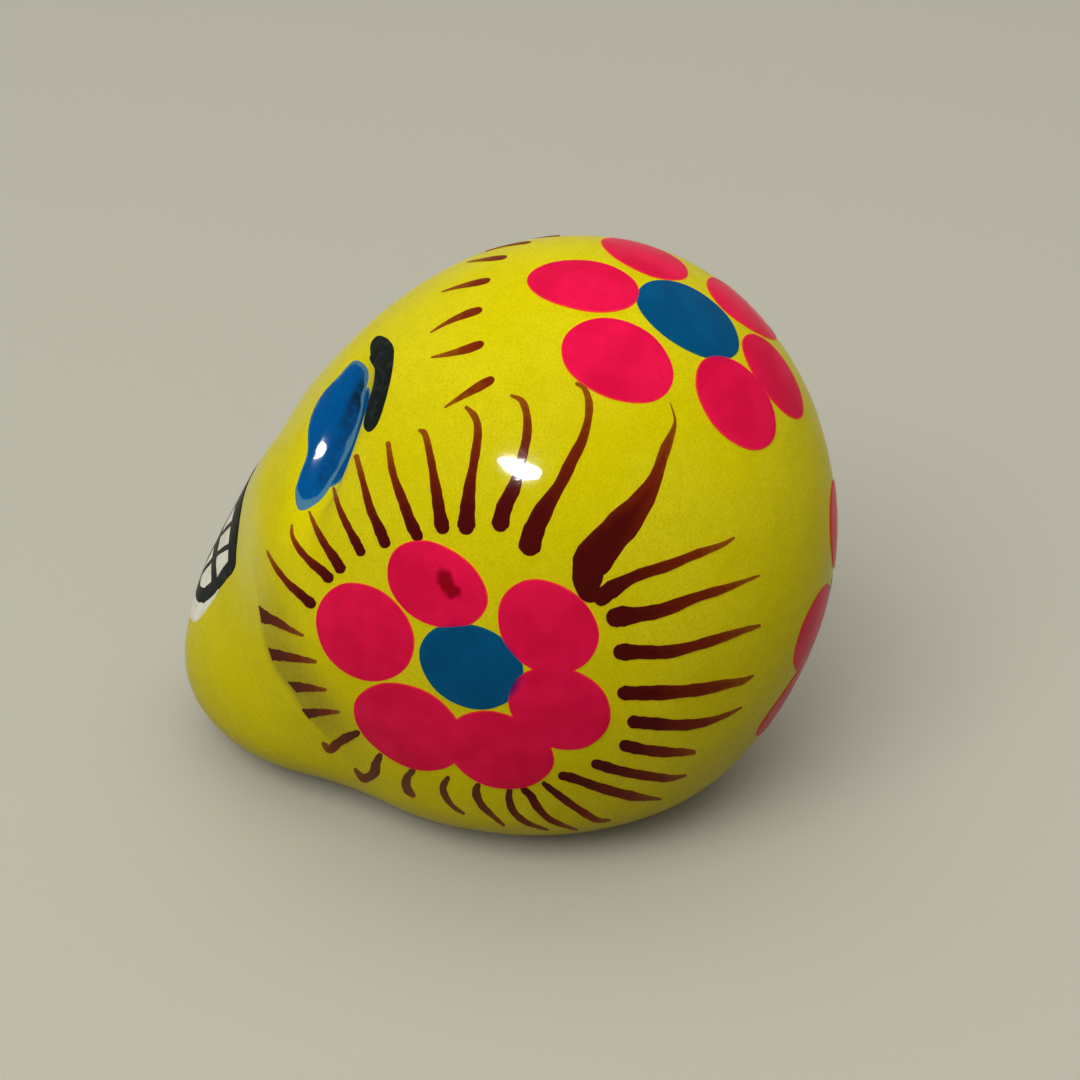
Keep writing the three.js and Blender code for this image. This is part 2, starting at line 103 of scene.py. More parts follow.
# How far rays from inside the clay are searched and how often they are halved, and how one from the camera
# closes in: where it starts, its steps, and the share and range of each
RAY_REACH, RAY_HALVINGS = 80.0, 34
SIGHT_START, SIGHT_STEPS, SIGHT_SHARE, SIGHT_RANGE = 180.0, 90, 0.75, (-3, 6)


def unit(v):
    v = np.asarray(v, float)
    return v / np.maximum(np.linalg.norm(v, axis=-1, keepdims=True), 1e-12)


def between(a, b, share):
    return a + (b - a) * share


def smooth_step(low, high, value):
    t = np.clip((value - low) / (high - low), 0, 1)
    return t * t * (3 - 2 * t)


def turned(a, b, angle):
    """Two measures of a place after their axes turn."""
    c, s = math.cos(angle), math.sin(angle)
    return a * c + b * s, b * c - a * s


def unit_measure(q, half):
    """Signed measure to an ellipsoid: negative inside, and near to a distance at its skin."""
    near = q / np.asarray(half)
    size = np.linalg.norm(near, axis=-1)
    steep = np.linalg.norm(near / np.asarray(half), axis=-1)
    return size * (size - 1) / np.maximum(steep, 1e-9)


def leaned_measure(p, middle, half, lean):
    q = p - np.asarray(middle)
    return unit_measure(np.stack([q[..., 0], *turned(q[..., 1], q[..., 2], lean)], -1), half)


def smooth_min(a, b, blend):
    h = np.maximum(blend - np.abs(a - b), 0) / blend
    return np.minimum(a, b) - h * h * blend / 4


def smooth_max(a, b, blend):
    return -smooth_min(-a, -b, blend)


def masses(p):
    """Measures to the cranium and to the snout, and the width of the blend between them."""
    cranium = leaned_measure(p, CRANIUM_MIDDLE, CRANIUM_HALF, CRANIUM_LEAN)
    snout = leaned_measure(p, SNOUT_MIDDLE, SNOUT_HALF, SNOUT_LEAN)
    rise = smooth_step(JAW_BLEND_Z, BROW_BLEND_Z, p[..., 2])
    return cranium, snout, between(JAW_BLEND, BROW_BLEND, rise)


def ripple(p):
    x, y, z = p[..., 0], p[..., 1], p[..., 2]
    return sum(
        height * np.cos(a * x) * np.sin(b * y + shift_y) * np.sin(c * z + shift_z)
        for height, (a, b, c), (shift_y, shift_z) in RIPPLE_WAVES
    )


# Filled in once the charts that place them exist
hollows = []


def swelling(p):
    """How far the slight swellings stand out from the two masses."""
    out = np.zeros(p.shape[:-1])
    for height, reach, middle in SWELLINGS:
        away = ((p - np.array(middle)) ** 2).sum(axis=-1)
        out += height * np.exp(-away / (2 * reach**2))
    return out


def smooth_form(p):
    return smooth_max(smooth_min(*masses(p)) - swelling(p), -p[..., 2] - FOOT_GRIND, FOOT_ROUNDING)


def form(p):
    """Signed measure to the clay's outside: negative inside it."""
    measure = smooth_form(p) + ripple(p)
    folded = np.array(p, float)
    folded[..., 0] = np.abs(folded[..., 0])
    for hollow in hollows:
        measure = smooth_max(measure, -hollow(folded), hollow.rim)
    return np.maximum(measure, -p[..., 2])


def outward(p, shape=form, step=0.03):
    sides = [shape(p + axis) - shape(p - axis) for axis in np.eye(3) * step]
    return unit(np.stack(sides, -1))


def along(core, direction, level=0.0, shape=form):
    """Points where rays from inside the clay reach a level of the form."""
    near = np.zeros(direction.shape[:-1])
    far = np.full(direction.shape[:-1], RAY_REACH)
    for _ in range(RAY_HALVINGS):
        middle = (near + far) / 2
        inside = shape(core + direction * middle[..., None]) < level
        near, far = np.where(inside, middle, near), np.where(inside, far, middle)
    return core + direction * far[..., None]


def lifted(p, height):
    return p + outward(p) * np.asarray(height)[..., None]


class Chart:
    """Lays flat measures from an anchor on the smooth skull over its curved surface."""

    def __init__(self, aim, upward=(0, 0, 1), core=None):
        if core is None:
            aim = along(CORE, unit(np.asarray(aim) - CORE), shape=smooth_form)
            core = aim - outward(aim, smooth_form) * CHART_DEPTH
        self.core = np.asarray(core, float)
        self.axis = unit(np.asarray(aim) - self.core)
        self.anchor = along(self.core, self.axis, shape=smooth_form)
        self.reach = np.linalg.norm(self.anchor - self.core)
        self.up = unit(np.asarray(upward, float) - self.axis * np.dot(upward, self.axis))
        self.across = np.cross(self.up, self.axis)

    def point(self, flat):
        span = np.maximum(np.linalg.norm(flat, axis=-1, keepdims=True), 1e-9)
        angle = span / self.reach
        side = flat[..., :1] * self.across + flat[..., 1:] * self.up
        return along(self.core, self.axis * np.cos(angle) + side / span * np.sin(angle))

    def flat(self, p):
        q = unit(p - self.core)
        a, b, c = q @ self.across, q @ self.up, q @ self.axis
        span = np.maximum(np.hypot(a, b), 1e-9)
        scale = self.reach * np.arctan2(span, c) / span
        return np.stack([a * scale, b * scale], -1)


def hollow_at(chart, half, lean, rim, aside):
    """A hollow pressed by a rounded tool, held at a lean and a little aside of the chart's middle."""
    middle = chart.anchor + chart.across * aside[0] + chart.up * aside[1]

    def measure(p):
        q = p - middle
        flat = turned(q @ chart.across, q @ chart.up, lean)
        return unit_measure(np.stack([*flat, q @ chart.axis], -1), half)

    measure.rim = rim
    return measure


side_chart = Chart(SIDE_AIM)
eye_chart = Chart(EYE_AIM)
nose_chart = Chart(NOSE_AIM)
hollows += [hollow_at(eye_chart, **EYE_HOLLOW), hollow_at(nose_chart, **NOSE_HOLLOW)]


def camera_axes():
    rise, turn = math.radians(CAMERA_ELEVATION), math.radians(CAMERA_TURN)
    level = math.cos(rise)
    back = np.array((math.cos(turn) * level, math.sin(turn) * level, math.sin(rise)))
    right = np.array((-math.sin(turn), math.cos(turn), 0))
    return right, np.cross(back, right), back


def camera_place():
    right, up, back = camera_axes()
    return CAMERA_TARGET + back * CAMERA_DISTANCE + right * CAMERA_ASIDE + up * CAMERA_RAISE


def seen_at(pixels, shape=form):
    """Points of the clay that the photograph shows at some pixels."""
    right, up, back = camera_axes()
    half = FRAME_PX / 2
    x, y = pixels[..., :1] - half, pixels[..., 1:] - half
    ray = unit(right * x - up * y - back * FOCAL_PX)
    away = np.full(ray.shape[:-1], SIGHT_START)
    for _ in range(SIGHT_STEPS):
        step = shape(camera_place() + ray * away[..., None])
        away = away + np.clip(step, *SIGHT_RANGE) * SIGHT_SHARE
    return camera_place() + ray * away[..., None]


CURVE_STEPS = 12


def curve_through(points, steps, closed=False):
    """Smooth curve through rows of numbers, spread evenly by length of its first two columns."""
    rows = np.asarray(points, float)
    if closed:
        rows = np.vstack([rows[-1:], rows, rows[:2]])
    else:
        rows = np.vstack([2 * rows[0] - rows[1], rows, 2 * rows[-1] - rows[-2]])
    t = np.linspace(0, 1, CURVE_STEPS, endpoint=False)[:, None]
    parts = []
    for a, b, c, d in zip(rows, rows[1:], rows[2:], rows[3:]):
        parts.append(b + t / 2 * (c - a + t * (2 * a - 5 * b + 4 * c - d + t * (3 * (b - c) + d - a))))
    dense = np.vstack([*parts, rows[-2:-1]])
    gone = np.concatenate([[0], np.cumsum(np.linalg.norm(np.diff(dense[:, :2], axis=0), axis=1))])
    wanted = np.linspace(0, gone[-1], steps + 1)
    if closed:
        wanted = wanted[:-1]
    return np.stack([np.interp(wanted, gone, column) for column in dense.T], -1)


PX_PER_MM = 10.3
# The share of the paint's own relief in its shading, its edge's rounding, and how deep it is sunk
PAINT_RELIEF, PAINT_ROUNDING, PAINT_SUNK = 0.07, 0.22, 0.08
# How blunt a slanted end is, the least share of width at a tip, and how much rows crowd towards both ends
BLUNTNESS, TIP_SHARE, CROWDING = 3.0, 0.04, 0.8
LINE_STEPS = 60
STRIP_COLUMNS = np.array((-1, -0.86, -0.5, 0, 0.5, 0.86, 1))
DISC_SHARES = (0.16, 0.34, 0.52, 0.68, 0.8, 0.88, 0.94, 0.98, 1)

# Patterns hold flat points, faces, each point's distance in from the edge, and its share of the length


def disc_pattern(outline, middle=(0, 0), shares=DISC_SHARES):
    """Rings drawn in from a closed outline to its middle, closest at the edge."""
    middle = np.asarray(middle, float)
    spread = outline - middle
    count = len(outline)
    points, edge = [middle[None]], [np.array([np.linalg.norm(spread, axis=1).mean()])]
    for share in shares:
        points.append(middle + spread * share)
        edge.append(np.linalg.norm(spread, axis=1) * (1 - share))
    faces = [(0, 1 + i, 1 + (i + 1) % count) for i in range(count)]
    for ring in range(len(shares) - 1):
        a, b = 1 + ring * count, 1 + (ring + 1) * count
        faces += [(a + i, b + i, b + (i + 1) % count, a + (i + 1) % count) for i in range(count)]
    points = np.vstack(points)
    return {"points": points, "faces": faces, "edge": np.concatenate(edge), "along": np.zeros(len(points))}


def strip_pattern(spine, widths, gauge=1.0, slant=None):
    """A brushed strip along a spine, with round ends, or cut off at a slant where it starts.

    gauge turns the spine's unit into millimetres.
    """
    run = np.gradient(spine, axis=0)
    side = unit(np.stack([-run[:, 1], run[:, 0]], -1))
    gone = np.concatenate([[0], np.cumsum(np.linalg.norm(np.diff(spine, axis=0), axis=1))])
    left = gone[-1] - gone
    reach = np.minimum(np.maximum(widths / 2, 1e-3), gone[-1] / 2)
    starts = gone if slant is None else gone * BLUNTNESS + reach / 2
    caps = [np.sqrt(np.clip(1 - (1 - np.minimum(g / reach, 1)) ** 2, 0, 1)) for g in (starts, left)]
    half = widths / 2 * np.maximum(caps[0] * caps[1], TIP_SHARE)
    u = STRIP_COLUMNS
    points = spine[:, None] + side[:, None] * (half[:, None] * u)[..., None]
    if slant is not None:
        shift = slant * half * np.exp(-gone / reach)
        points += unit(run)[:, None] * (shift[:, None] * u)[..., None]
    edge = np.minimum(half[:, None] * (1 - np.abs(u)), np.minimum(gone, left)[:, None] + 1e-3)
    rows, across = len(spine), len(u)
    faces = []
    for j in range(rows - 1):
        for i in range(across - 1):
            a = j * across + i
            faces.append((a, a + 1, a + 1 + across, a + across))
    share = np.repeat(gone / gone[-1], across)
    return {"points": points.reshape(-1, 2), "faces": faces, "edge": edge.ravel() * gauge, "along": share}


def even_ends(spine_rows, steps):
    """Rows of a spine, drawn together towards both ends so that the round caps come out round."""
    t = np.linspace(0, 1, steps + 1)
    t = t - CROWDING * np.sin(2 * math.pi * t) / (2 * math.pi)
    place = t * (len(spine_rows) - 1)
    index = np.arange(len(spine_rows))
    return np.stack([np.interp(place, index, column) for column in spine_rows.T], -1)


def wavering(t, waves, seed):
    """A share near 1 that strays in waves, each with its size, turns and drift."""
    return 1 + sum(size * np.sin(turns * t + drift * seed) for size, turns, drift in waves)


def brushed(rows, count, waves, seed, gauge=1.0, slant=None):
    """A strip through rows of x, y and width, with a width that wavers."""
    line = even_ends(curve_through(rows, LINE_STEPS), count)
    widths = line[:, 2] * wavering(np.linspace(0, 1, len(line)), waves, seed)
    return strip_pattern(line[:, :2], widths, gauge, slant)


def domed(edge, thickness):
    """Paint stands up from its edge in a short round and is level inside."""
    t = np.clip(edge / PAINT_ROUNDING, 0, 1)
    return thickness * np.sqrt(np.clip(1 - (1 - t) ** 2, 0, 1))


def open_edges(faces):
    edges = dict.fromkeys(pair for face in faces for pair in zip(face, face[1:] + face[:1]))
    return [(a, b) for a, b in edges if (b, a) not in edges]


def plate(pattern, base, thickness):
    """A closed skin of paint over the clay: its upper face, its hidden underside and the edge between."""
    count = len(base)
    upper = lifted(base, domed(pattern["edge"], thickness) - PAINT_SUNK * (pattern["edge"] <= 1e-6))
    lower = lifted(base, np.full(count, -PAINT_SUNK))
    faces = list(pattern["faces"])
    faces += [tuple(i + count for i in reversed(face)) for face in pattern["faces"]]
    faces += [(b, a, a + count, b + count) for a, b in open_edges(pattern["faces"])]
    return {
        "points": np.vstack([upper, lower]),
        "faces": faces,
        "edge": np.tile(pattern["edge"], 2),
        "along": np.tile(pattern["along"], 2),
    }


def mirrored(body):
    flipped = dict(body)
    flipped["points"] = body["points"] * np.array((-1, 1, 1))
    flipped["faces"] = [tuple(reversed(face)) for face in body["faces"]]
    return flipped


SIDES = (("left", dict), ("right", mirrored))


def joined(bodies):
    out = {"points": np.vstack([b["points"] for b in bodies]), "faces": []}
    start = 0
    for body in bodies:
        out["faces"] += [tuple(i + start for i in face) for face in body["faces"]]
        start += len(body["points"])
    for key in bodies[0]:
        if key not in out:
            out[key] = np.concatenate([b[key] for b in bodies])
    return out


def outward_faces(points, faces):
    """The same faces, all turned over if the closed body they make is inside out."""
    corners = np.array([[f[0], f[i], f[i + 1]] for f in faces for i in range(1, len(f) - 1)])
    a, b, c = (points[corners[:, i]] for i in range(3))
    volume = np.einsum("ij,ij->i", a, np.cross(b, c)).sum()
    return faces if volume > 0 else [tuple(reversed(face)) for face in faces]


def store(mesh, name, values):
    mesh.attributes.new(name, "FLOAT", "POINT").data.foreach_set("value", np.asarray(values, np.float32))


def placed(name, data):
    made = bpy.data.objects.new(name, data)
    bpy.context.scene.collection.objects.link(made)
    return made


def level_varnish(mesh, points):
    """Turns the paint's normals most of the way to those of the clay, as varnish levels its edges."""
    own = np.empty(len(points) * 3)
    mesh.vertex_normals.foreach_get("vector", own)
    below = outward(points)
    turned = unit(below * (1 - PAINT_RELIEF) + own.reshape(-1, 3) * PAINT_RELIEF)
    mesh.normals_split_custom_set_from_vertices(turned.tolist())


def new_mesh(name, body):
    mesh = bpy.data.meshes.new(name)
    mesh.from_pydata((body["points"] * MM).tolist(), [], outward_faces(body["points"], body["faces"]))
    return mesh


def make_piece(name, body, finish, stands_for=()):
    """A finished piece of the object, riding on the shell and standing for its plain CAD solids."""
    mesh = new_mesh(name, body)
    mesh.polygons.foreach_set("use_smooth", [True] * len(mesh.polygons))
    level_varnish(mesh, body["points"])
    for key, values in body.items():
        if key not in ("points", "faces"):
            store(mesh, key, values)
    mesh.materials.append(finishes[finish])
    piece = placed(name, mesh)
    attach(piece, "root")
    if stands_for:
        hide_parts(*stands_for)
    return piece


# Materials


def linear(rgb):
    """A colour as seen on a screen, turned into the linear numbers that shaders use."""
    share = np.asarray(rgb, float) / 255
    value = np.where(share <= 0.04045, share / 12.92, ((share + 0.055) / 1.055) ** 2.4)
    return (*value.tolist(), 1.0)


# Clear varnish over every paint, with the waves in its surface: size, detail and share of the relief
COAT_IOR, COAT_ROUGHNESS, COAT_RELIEF = 1.15, 0.05, 0.012
COAT_WAVES = ((3.2, 1, 1.0), (0.6, 2, 0.35), (0.45, 1, 0.25))
GRAIN, GRAIN_RELIEF = 0.35, 0.006


class Nodes:
    """A tree of nodes, built up from small steps."""

    def __init__(self, tree):
        self.tree = tree

    def node(self, kind, **settings):
        made = self.tree.nodes.new(kind)
        for key, value in settings.items():
            setattr(made, key, value)
        return made

    def feed(self, socket, value):
        if isinstance(value, bpy.types.NodeSocket):
            self.tree.links.new(value, socket)
        else:
            socket.default_value = value

    def maths(self, kind, a, b):
        made = self.node("ShaderNodeMath", operation=kind)
        self.feed(made.inputs[0], a)
        self.feed(made.inputs[1], b)
        return made.outputs["Value"]

    def mix(self, share, a, b):
        """Some share of b over a, where each is a colour as seen on a screen or a socket."""
        made = self.node("ShaderNodeMix", data_type="RGBA")
        self.feed(made.inputs[0], share)
        for socket, colour in ((made.inputs[6], a), (made.inputs[7], b)):
            self.feed(socket, linear(colour) if isinstance(colour, tuple) else colour)
        return made.outputs[2]

    def seen_or_mirrored(self):
        """1 where a surface is seen, also in a mirror or through glass, and 0 where it only lights others."""
        rays = self.node("ShaderNodeLightPath").outputs
        seen = self.maths("MAXIMUM", rays["Is Camera Ray"], rays["Is Glossy Ray"])
        return self.maths("MAXIMUM", seen, rays["Is Transmission Ray"])


class Finish(Nodes):
    """A material under clear varnish."""

    def __init__(self, name, roughness=0.5, coat=0.6):
        self.material = bpy.data.materials.new(name)
        self.material.use_nodes = True
        super().__init__(self.material.node_tree)
        self.shader = self.tree.nodes["Principled BSDF"]
        settings = {"Roughness": roughness, "Specular IOR Level": 0.0, "Coat Weight": coat}
        settings |= {"Coat Roughness": COAT_ROUGHNESS, "Coat IOR": COAT_IOR}
        for key, value in settings.items():
            self.shader.inputs[key].default_value = value
        self.place = self.node("ShaderNodeTexCoord").outputs["Object"]

    def noise(self, size_mm, detail):
        """Cloudy pattern from 0 to 1 whose clouds are about this size."""
        made = self.node("ShaderNodeTexNoise")
        self.feed(made.inputs["Vector"], self.place)
        made.inputs["Scale"].default_value = 1 / (size_mm * MM)
        made.inputs["Detail"].default_value = detail
        return made.outputs["Fac"]

    def attribute(self, name):
        return self.node("ShaderNodeAttribute", attribute_name=name).outputs["Fac"]

    def ramp(self, value, low, high, start=0.0, end=1.0):
        made = self.node("ShaderNodeMapRange", interpolation_type="SMOOTHSTEP")
        for socket, number in zip(made.inputs, (value, low, high, start, end)):
            self.feed(socket, number)
        return made.outputs["Result"]

    def clouded(self, a, b, size_mm, detail, low, high, share=1.0):
        """Clouds of b over a, up to some share."""
        return self.mix(self.ramp(self.noise(size_mm, detail), low, high, 0, share), a, b)

    def patchy(self, name, size_mm, *spread):
        """A stored share that is fuller and thinner in clouds."""
        return self.maths("MULTIPLY", self.attribute(name), self.ramp(self.noise(size_mm, 3), *spread))

    def ragged(self, name, size_mm, detail, reach, low=0.2, high=0.8):
        """A stored measure that strays by up to a reach, so that a colour's edge along it is ragged."""
        stray = self.ramp(self.noise(size_mm, detail), low, high, -reach, reach)
        return self.maths("ADD", self.attribute(name), stray)

    def specks(self):
        """Sparse round specks: 1 inside one and 0 elsewhere."""
        made = self.node("ShaderNodeTexVoronoi")
        self.feed(made.inputs["Vector"], self.place)
        made.inputs["Scale"].default_value = 1 / (SPECK_SPACING * MM)
        reach = SPECK_RADIUS / SPECK_SPACING
        near = self.ramp(made.outputs["Distance"], reach, SPECK_CORE * reach)
        split = self.node("ShaderNodeSeparateColor")
        self.feed(split.inputs["Color"], made.outputs["Color"])
        return self.maths("MULTIPLY", near, self.maths("LESS_THAN", split.outputs["Red"], SPECK_SHARE))

    def bump(self, height, relief_mm, socket):
        made = self.node("ShaderNodeBump")
        made.inputs["Distance"].default_value = relief_mm * MM
        self.feed(made.inputs["Height"], height)
        self.feed(self.shader.inputs[socket], made.outputs["Normal"])

    def done(self, colour):
        self.feed(self.shader.inputs["Base Color"], colour)
        varnish = 0.0
        for size, detail, share in COAT_WAVES:
            varnish = self.maths("ADD", varnish, self.maths("MULTIPLY", self.noise(size, detail), share))
        self.bump(varnish, COAT_RELIEF, "Coat Normal")
        self.bump(self.noise(GRAIN, 2), GRAIN_RELIEF, "Normal")
        return self.material


YELLOW, YELLOW_DEEP, YELLOW_PALE = (216, 203, 2), (196, 180, 0), (220, 208, 20)
# The darker yellow of the crease is partly pooled enamel and partly painted shade
# The pale yellow beside the mouth is partly thin enamel and partly a painted reflection
YELLOW_POOLED_AND_SHADED, YELLOW_THIN_AND_SHEEN, SPECK = (150, 134, 36), (200, 197, 112), (74, 60, 20)
PINK, PINK_DEEP, PINK_RIM, PINK_BLOTCH = (236, 20, 76), (208, 8, 58), (250, 66, 42), (136, 0, 10)
PURPLE = (80, 24, 104)
BLUE, BLUE_DEEP, BLUE_RIM = (2, 84, 130), (0, 68, 108), (14, 96, 112)
EYE_BLUE, EYE_DEEP, EYE_RIM = (0, 84, 148), (12, 42, 72), (72, 120, 146)
BROWN_DARK, BROWN, BROWN_THIN = (76, 10, 8), (116, 36, 6), (150, 84, 12)
BROWN_FADED = (112, 74, 42)
BLACK, BLACK_THIN = (24, 30, 27), (42, 47, 42)
WHITE, WHITE_DULL = (236, 234, 216), (222, 219, 192)
CLAY, CLAY_DARK = (172, 104, 66), (128, 72, 46)
SPECK_SPACING, SPECK_RADIUS, SPECK_CORE, SPECK_SHARE = 7.5, 0.22, 0.4, 0.5


def yellow_enamel():
    m = Finish("yellow_enamel")
    colour = m.clouded(YELLOW, YELLOW_PALE, 9, 2, 0.35, 0.65)
    colour = m.clouded(colour, YELLOW_DEEP, 0.2, 2, 0.38, 0.72, 0.6)
    colour = m.clouded(colour, YELLOW_DEEP, 1.3, 3, 0.35, 0.75, 0.25)
    # Darker in the crease beside the jaw: partly pooled enamel, partly painted shade
    colour = m.mix(m.patchy("pooled_and_shade", 0.7, 0.25, 0.7, 0.55, 0.8), colour, YELLOW_POOLED_AND_SHADED)
    # Paler beside the mouth: partly thin enamel, partly a painted reflection
    colour = m.mix(m.patchy("pale", 1.2, 0.3, 0.7, 0.5, 0.9), colour, YELLOW_THIN_AND_SHEEN)
    colour = m.mix(m.specks(), colour, SPECK)
    worn = m.maths("ADD", m.attribute("worn"), m.noise(1.6, 3))
    return m.done(m.mix(m.ramp(worn, 0.85, 1.05), colour, CLAY))


def raw_clay():
    m = Finish("raw_clay", roughness=0.85, coat=0.0)
    return m.done(m.clouded(CLAY, CLAY_DARK, 1.2, 4, 0.3, 0.7))


def pink_enamel():
    m = Finish("pink_enamel")
    colour = m.clouded(PINK, PINK_DEEP, 4.0, 2, 0.3, 0.7, 0.7)
    colour = m.clouded(colour, PINK_DEEP, 0.18, 2, 0.45, 0.75, 0.5)
    colour = m.mix(m.ramp(m.ragged("edge", 0.8, 2, 0.04), 0.22, 0.06, 0, 0.9), colour, PINK_RIM)
    colour = m.mix(m.ramp(m.ragged("blotch", 0.7, 3, 0.15), 1.05, 0.5, 0, 0.9), colour, PINK_BLOTCH)
    return m.done(m.mix(m.ramp(m.attribute("over_blue"), 0.1, -0.8, 0, 0.95), colour, PURPLE))


def blue_enamel():
    m = Finish("blue_enamel")
    colour = m.clouded(BLUE, BLUE_DEEP, 4.0, 2, 0.3, 0.7, 0.6)
    colour = m.clouded(colour, BLUE_DEEP, 0.18, 2, 0.45, 0.75, 0.4)
    return m.done(m.mix(m.ramp(m.attribute("edge"), 0.2, 0.04), colour, BLUE_RIM))


def eye_enamel():
    m = Finish("eye_enamel")
    # Darker navy in the socket: partly pooled paint, partly painted shade
    colour = m.mix(m.patchy("deep", 0.9, 0.3, 0.65, 0.45, 1.1), EYE_BLUE, EYE_DEEP)
    colour = m.clouded(colour, EYE_DEEP, 0.5, 3, 0.4, 0.75, 0.25)
    return m.done(m.mix(m.ramp(m.ragged("thin", 0.8, 3, 0.12), 0.22, -0.1), colour, EYE_RIM))


def brown_enamel():
    m = Finish("brown_enamel")
    darker_inside = m.maths("MULTIPLY", m.attribute("edge"), 0.25)
    along_it = m.maths("SUBTRACT", m.ragged("along", 0.6, 3, 0.05, 0.3, 0.7), darker_inside)
    colour = m.mix(m.ramp(along_it, 0.0, 0.65), BROWN_DARK, BROWN)
    colour = m.clouded(colour, BROWN_DARK, 0.2, 2, 0.45, 0.75, 0.35)
    colour = m.mix(m.ramp(along_it, 0.55, 1.0, 0, 0.9), colour, BROWN_THIN)
    return m.done(m.mix(m.maths("MULTIPLY", m.attribute("faded"), 0.6), colour, BROWN_FADED))


def thin_brown_enamel():
    m = Finish("thin_brown_enamel")
    return m.done(m.mix(m.ramp(m.ragged("along", 0.9, 3, 0.2, 0.3, 0.7), 0.1, 1.1), BROWN, BROWN_THIN))


def black_enamel():
    m = Finish("black_enamel", coat=0.3)
    return m.done(m.clouded(BLACK, BLACK_THIN, 0.9, 3, 0.45, 0.75))


def white_enamel():
    m = Finish("white_enamel")
    return m.done(m.clouded(WHITE, WHITE_DULL, 1.8, 3, 0.4, 0.75))


finishes = {
    make.__name__: make()
    for make in (
        yellow_enamel, raw_clay, pink_enamel, blue_enamel, eye_enamel, brown_enamel, thin_brown_enamel,
        black_enamel, white_enamel,
    )
}


# The shell: quads along a cube's side outside and inside, and the vent's sides
OUTSIDE_COUNT, INSIDE_COUNT, VENT_SIDES, VENT_OVERRUN = 118, 40, 72, 2.0
# How much paint is rubbed off at the foot, how that falls per mm of height, and where the bare clay starts
WORN_MOST, WORN_FALL, BARE_DEPTH = 0.55, 1.2, 0.35
SHARP_ANGLE = 38


def cube_directions(count):
    """Unit directions over a cube's six faces, welded at its edges, with the quads between them."""
    spread = np.tan(np.linspace(-1, 1, count + 1) * math.pi / 4)
    a, b = np.meshgrid(spread, spread)
    one = np.ones_like(a)
    sides = [(one, a, b), (-one, b, a), (b, one, a), (a, -one, b), (a, b, one), (b, a, -one)]
    points = np.vstack([np.stack(s, -1).reshape(-1, 3) for s in sides])
    _, first, place = np.unique(np.round(points, 9), axis=0, return_index=True, return_inverse=True)
    place = place.ravel()
    wide = count + 1
    faces = []
    for side in range(6):
        grid = place[side * wide * wide : (side + 1) * wide * wide].reshape(wide, wide)
        corners = np.stack([grid[:-1, :-1], grid[:-1, 1:], grid[1:, 1:], grid[1:, :-1]], -1)
        faces += [tuple(int(i) for i in face) for face in corners.reshape(-1, 4)]
    return unit(points[first]), faces


def skin(count, level):
    directions, faces = cube_directions(count)
    return {"points": along(CORE, directions, level), "faces": faces}


def vent_drill():
    """A round cutter for the vent, flared where it leaves the foot."""
    heights = (-VENT_OVERRUN, 0.0, VENT_FLARE, WALL + VENT_OVERRUN)
    radii = (VENT_RADIUS + VENT_FLARE, VENT_RADIUS + VENT_FLARE, VENT_RADIUS, VENT_RADIUS)
    count = VENT_SIDES
    turns = np.linspace(0, 2 * math.pi, count, endpoint=False)
    points, faces = [], []
    for z, r in zip(heights, radii):
        points.append(np.stack([r * np.cos(turns), VENT_Y + r * np.sin(turns), np.full(count, z)], -1))
    for a in (0, count, 2 * count):
        b = a + count
        faces += [(a + i, a + (i + 1) % count, b + (i + 1) % count, b + i) for i in range(count)]
    faces += [tuple(reversed(range(count))), tuple(range(3 * count, 4 * count))]
    return {"points": np.vstack(points), "faces": faces}


def plain_object(name, body):
    return placed(name, new_mesh(name, body))


def near_line(rows, flat):
    """How far flat points lie to the left of a line given in pixels, with its third number there."""
    line = curve_through(rows, LINE_STEPS)
    edge = side_chart.flat(seen_at(line[:, :2]))
    away = np.linalg.norm(flat[:, None] - edge[None], axis=2)
    nearest = away.argmin(axis=1)
    run, out = np.gradient(edge, axis=0)[nearest], flat - edge[nearest]
    side = np.sign(run[:, 0] * out[:, 1] - run[:, 1] * out[:, 0])
    return away.min(axis=1) * side, line[nearest, 2]


def crease_pool_and_shade(flat):
    """Pooled enamel and painted shade: a sharp step at the jaw's edge, level at first, then thinning on the
    cheek.
    """
    away, strength = near_line(CREASE_PX, flat)
    rise = smooth_step(-CREASE_STEP, CREASE_STEP, away)
    return strength * rise * (1 - smooth_step(CREASE_LEVEL, CREASE_END, away))


def pale_sheen_share(flat):
    away, strength = near_line(PALE_PX, flat)
    return strength * (1 - smooth_step(0.0, 1.0, np.abs(away) / PALE_REACH))


